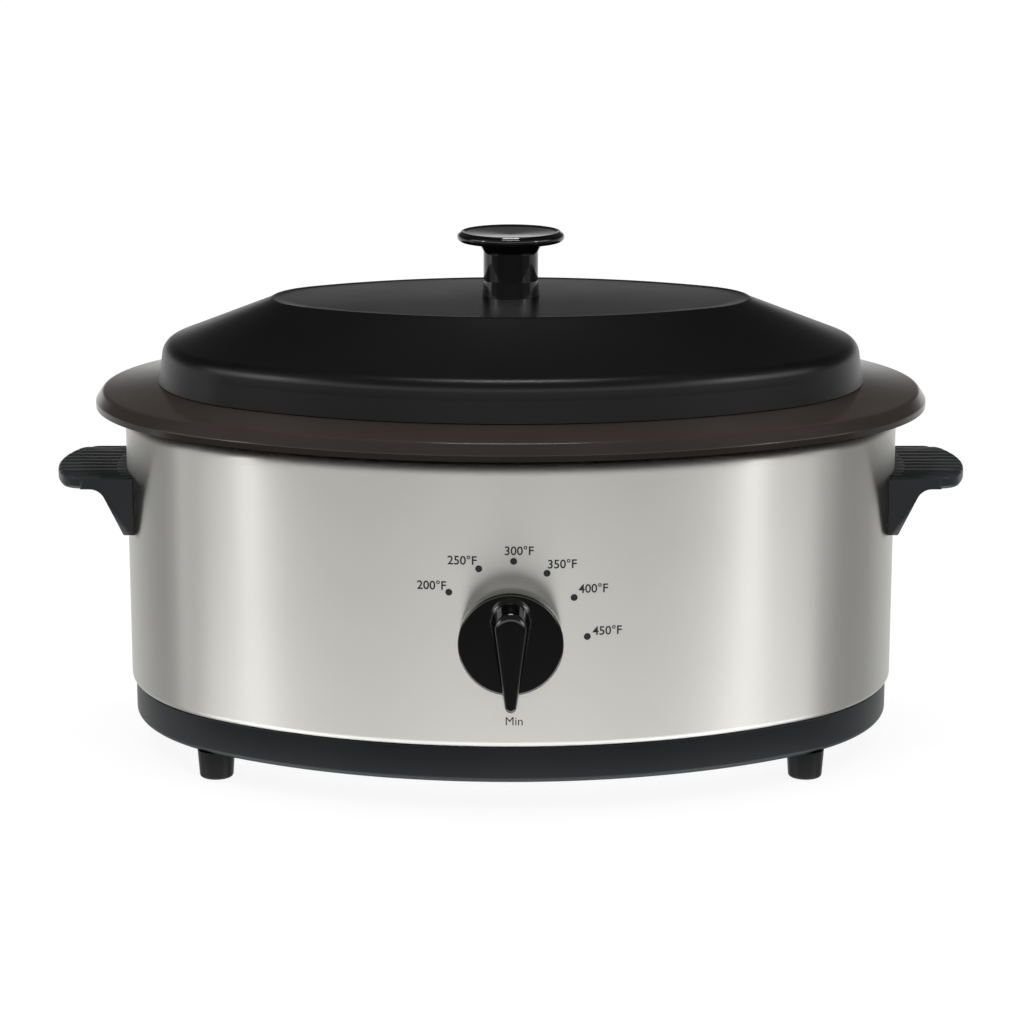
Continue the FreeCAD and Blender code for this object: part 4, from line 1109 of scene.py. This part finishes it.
@dataclass
class Studio:
    """The white floor, the banded surround that the metal mirrors, the softboxes and the camera.

    Each stop of a ramp is an angle in degrees and the brightness there.  Bearings run from the
    front (0) to the right (90), to the left (-90) and to the back (180 and -180); heights run
    from straight down (-90) to straight up (90).  Fill stops are for diffuse light alone.
    """

    camera_distance: float = 1566.3
    camera_height: float = 473.3
    camera_pitch_degrees: float = 12.875
    camera_x: float = 0.6
    focal_pixels: float = 3137.2
    image_pixels: float = 1024.0
    sensor_mm: float = 36.0
    floor_half: float = 6000.0
    floor_glow: float = 1.08
    floor_glow_share: float = 0.82
    paper: str = "#f4f4f4"
    bounce: str = "#8a8a8a"
    aim_height: float = 120.0
    facing: tuple[float, float] = (-0.35, 0.15)
    bearing_stops: tuple[tuple[float, float], ...] = (
        (-180, 0.90), (-130, 0.60), (-118, 0.50), (-108, 0.50), (-100, 0.80), (-93, 2.20),
        (-64, 2.15), (-58, 1.45), (-38, 1.40), (-15, 1.55), (15, 1.55), (38, 1.42), (48, 1.45),
        (54, 2.10), (86, 2.30), (94, 0.90), (104, 0.50), (118, 0.45), (130, 0.60), (180, 0.90))
    front_stops: tuple[tuple[float, float], ...] = (
        (-90, 1.5), (-34, 1.7), (-26, 0.10), (-3, 0.05), (7, 0.12), (15, 0.95), (24, 0.95),
        (34, 0.12), (75, 0.08), (90, 0.08))
    back_stops: tuple[tuple[float, float], ...] = (
        (-90, 0.8), (-8, 1.1), (1, 1.1), (6, 0.42), (11, 0.12), (20, 0.07), (40, 0.05),
        (90, 0.04))
    fill_stops: tuple[tuple[float, float], ...] = (
        (-90, 0.15), (-5, 0.20), (15, 0.40), (45, 0.90), (90, 1.45))

    def build(self, oval: Oval) -> None:
        """Set up the floor, world, lamps and camera."""
        self.floor()
        self.world()
        self.lamps()
        self.camera(oval)
        bpy.context.scene.view_settings.view_transform = "Standard"

    def floor(self) -> None:
        """A white floor that takes a faint shadow; mirrors look through it to the surround.

        To light other than the camera's it is mid grey, so that upright faces stay dark.
        """
        work = bmesh.new()
        size = self.floor_half * MM
        corners = [work.verts.new((x * size, y * size, 0.0)) for x, y in
                   ((-1, -1), (1, -1), (1, 1), (-1, 1))]
        work.faces.new(corners)
        floor = from_bmesh("studio_floor", work)
        material = bpy.data.materials.new("white_floor")
        tree = emptied(material)
        path = add_node(tree, "ShaderNodeLightPath")
        shade = add_node(tree, "ShaderNodeMix", {"data_type": "RGBA"},
                         links={"Factor": path.outputs["Is Camera Ray"]},
                         values={6: linear(self.bounce), 7: linear(self.paper)})
        paper = add_node(tree, "ShaderNodeBsdfDiffuse", links={"Color": shade.outputs[2]})
        glow = add_node(tree, "ShaderNodeEmission", values={"Strength": self.floor_glow})
        share = add_node(tree, "ShaderNodeMath", {"operation": "MULTIPLY"},
                         links={0: path.outputs["Is Camera Ray"]},
                         values={1: self.floor_glow_share})
        seen = mixed(tree, share.outputs["Value"], paper.outputs["BSDF"], glow.outputs["Emission"])
        clear = add_node(tree, "ShaderNodeBsdfTransparent")
        shown = mixed(tree, path.outputs["Is Glossy Ray"], seen, clear.outputs["BSDF"])
        add_node(tree, "ShaderNodeOutputMaterial", links={"Surface": shown})
        floor.data.materials.append(material)

    def world(self) -> None:
        """White for the camera, brightest overhead for diffuse light, banded for glossy light."""
        world = bpy.data.worlds.new("studio")
        bpy.context.scene.world = world
        tree = emptied(world)
        path = add_node(tree, "ShaderNodeLightPath")
        rise = self.height(tree)
        even = add_node(tree, "ShaderNodeBackground",
                        links={"Strength": self.ramp(tree, rise, self.fill_stops)})
        white = add_node(tree, "ShaderNodeBackground", values={"Strength": 1.0})
        bands = add_node(tree, "ShaderNodeBackground", links={"Strength": self.bands(tree)})
        for light in (even, white, bands):
            light.inputs["Color"].default_value = (1, 1, 1, 1)
        unseen = mixed(tree, path.outputs["Is Glossy Ray"], even.outputs["Background"],
                       bands.outputs["Background"])
        shown = mixed(tree, path.outputs["Is Camera Ray"], unseen, white.outputs["Background"])
        add_node(tree, "ShaderNodeOutputWorld", links={"Surface": shown})

    def bands(self, tree: Tree) -> Socket:
        """Return the surround's brightness by bearing and height."""
        way = self.direction(tree)
        ahead = add_node(tree, "ShaderNodeMath", {"operation": "MULTIPLY"},
                         links={0: way["Y"]}, values={1: -1.0})
        bearing = add_node(tree, "ShaderNodeMath", {"operation": "ARCTAN2"},
                           links={0: way["X"], 1: ahead.outputs["Value"]})
        rise = self.height(tree)
        around = self.ramp(tree, bearing.outputs["Value"], self.bearing_stops)
        front = self.ramp(tree, rise, self.front_stops)
        back = self.ramp(tree, rise, self.back_stops)
        facing = add_node(tree, "ShaderNodeMapRange", {"interpolation_type": "SMOOTHSTEP"},
                          links={"Value": ahead.outputs["Value"]},
                          values={"From Min": self.facing[0], "From Max": self.facing[1]})
        tall = add_node(tree, "ShaderNodeMix", {"data_type": "FLOAT"}, links={
            "Factor": facing.outputs["Result"], 2: back, 3: front})
        total = add_node(tree, "ShaderNodeMath", {"operation": "MULTIPLY"},
                         links={0: around, 1: tall.outputs["Result"]})
        return total.outputs["Value"]

    def direction(self, tree: Tree) -> bpy.types.NodeOutputs:
        """Return the parts X, Y and Z of the direction that is looked at."""
        way = add_node(tree, "ShaderNodeTexCoord").outputs["Generated"]
        return add_node(tree, "ShaderNodeSeparateXYZ", links={"Vector": way}).outputs

    def height(self, tree: Tree) -> Socket:
        """Return the height of the looked-at direction over the horizon, in radians."""
        rise = add_node(tree, "ShaderNodeMath", {"operation": "ARCSINE"},
                        links={0: self.direction(tree)["Z"]})
        return rise.outputs["Value"]

    def ramp(self, tree: Tree, angle: Socket,
             stops: Sequence[tuple[float, float]]) -> Socket:
        """Return a brightness that follows an angle through its stops.

        Args:
            tree: The world's node tree.
            angle: The angle in radians.
            stops: Angles in degrees with their brightness.

        Returns:
            The brightness.
        """
        curve = add_node(tree, "ShaderNodeFloatCurve")
        first, last = stops[0][0], stops[-1][0]
        share = add_node(tree, "ShaderNodeMapRange", links={"Value": angle}, values={
            "From Min": math.radians(first), "From Max": math.radians(last)})
        tree.links.new(share.outputs["Result"], curve.inputs["Value"])
        mapping = curve.mapping
        mapping.clip_max_y = 4.0
        points = mapping.curves[0].points
        for index, (degrees, brightness) in enumerate(stops):
            spot = (degrees - first) / (last - first)
            if index == 0:
                points[0].location = (spot, brightness)
            elif index == len(stops) - 1:
                points[len(points) - 1].location = (1.0, brightness)
            else:
                points.new(spot, brightness)
        for point in points:
            point.handle_type = "VECTOR"
        mapping.update()
        return curve.outputs["Value"]

    def lamps(self) -> None:
        """Two tall side softboxes and one overhead, a little in front."""
        for name, place, size, power in (
                ("left_softbox", (-2.1, -1.0, 1.3), (0.14, 0.8), 4.0),
                ("right_softbox", (2.0, -1.2, 1.3), (0.14, 0.8), 4.0),
                ("top_softbox", (0.0, -0.1, 2.0), (0.6, 0.2), 5.0)):
            light = bpy.data.lights.new(name, "AREA")
            light.shape = "RECTANGLE"
            light.size, light.size_y = size
            light.energy = power
            lamp = placed(name, light)
            lamp.location = place
            aim = Vector((0.0, 0.0, self.aim_height * MM)) - Vector(place)
            lamp.rotation_euler = aim.to_track_quat("-Z", "Y").to_euler()

    def camera(self, oval: Oval) -> None:
        """The photograph's viewpoint."""
        data = bpy.data.cameras.new("camera")
        data.sensor_width = self.sensor_mm
        data.lens = self.focal_pixels / self.image_pixels * self.sensor_mm
        camera = placed("camera", data)
        place = Vector((self.camera_x, oval.centre_y - self.camera_distance, self.camera_height))
        camera.location = place * MM
        camera.rotation_euler = (math.radians(90 - self.camera_pitch_degrees), 0.0, 0.0)
        bpy.context.scene.camera = camera


def main() -> None:
    """Build the oven piece by piece, then the studio."""
    logging.basicConfig(level=logging.INFO, format="%(name)s: %(message)s")
    repeater = Repeater()
    body = SteelBody(OVAL, repeater)
    assemblies: list[tuple[str, Callable[[], None]]] = [
        ("steel body", body.build),
        ("heating", Heating().build),
        ("electrics", Electrics().build),
        ("cookwell", Cookwell(OVAL).build),
        ("lid", Lid(OVAL).build),
        ("handles", Handles().build),
        ("dial", Dial(OVAL, repeater, body.reach).build),
    ]
    for name, build in assemblies:
        build()
        log.info("%s is built", name)
    Studio().build(OVAL)


if __name__ == "__main__":
    main()
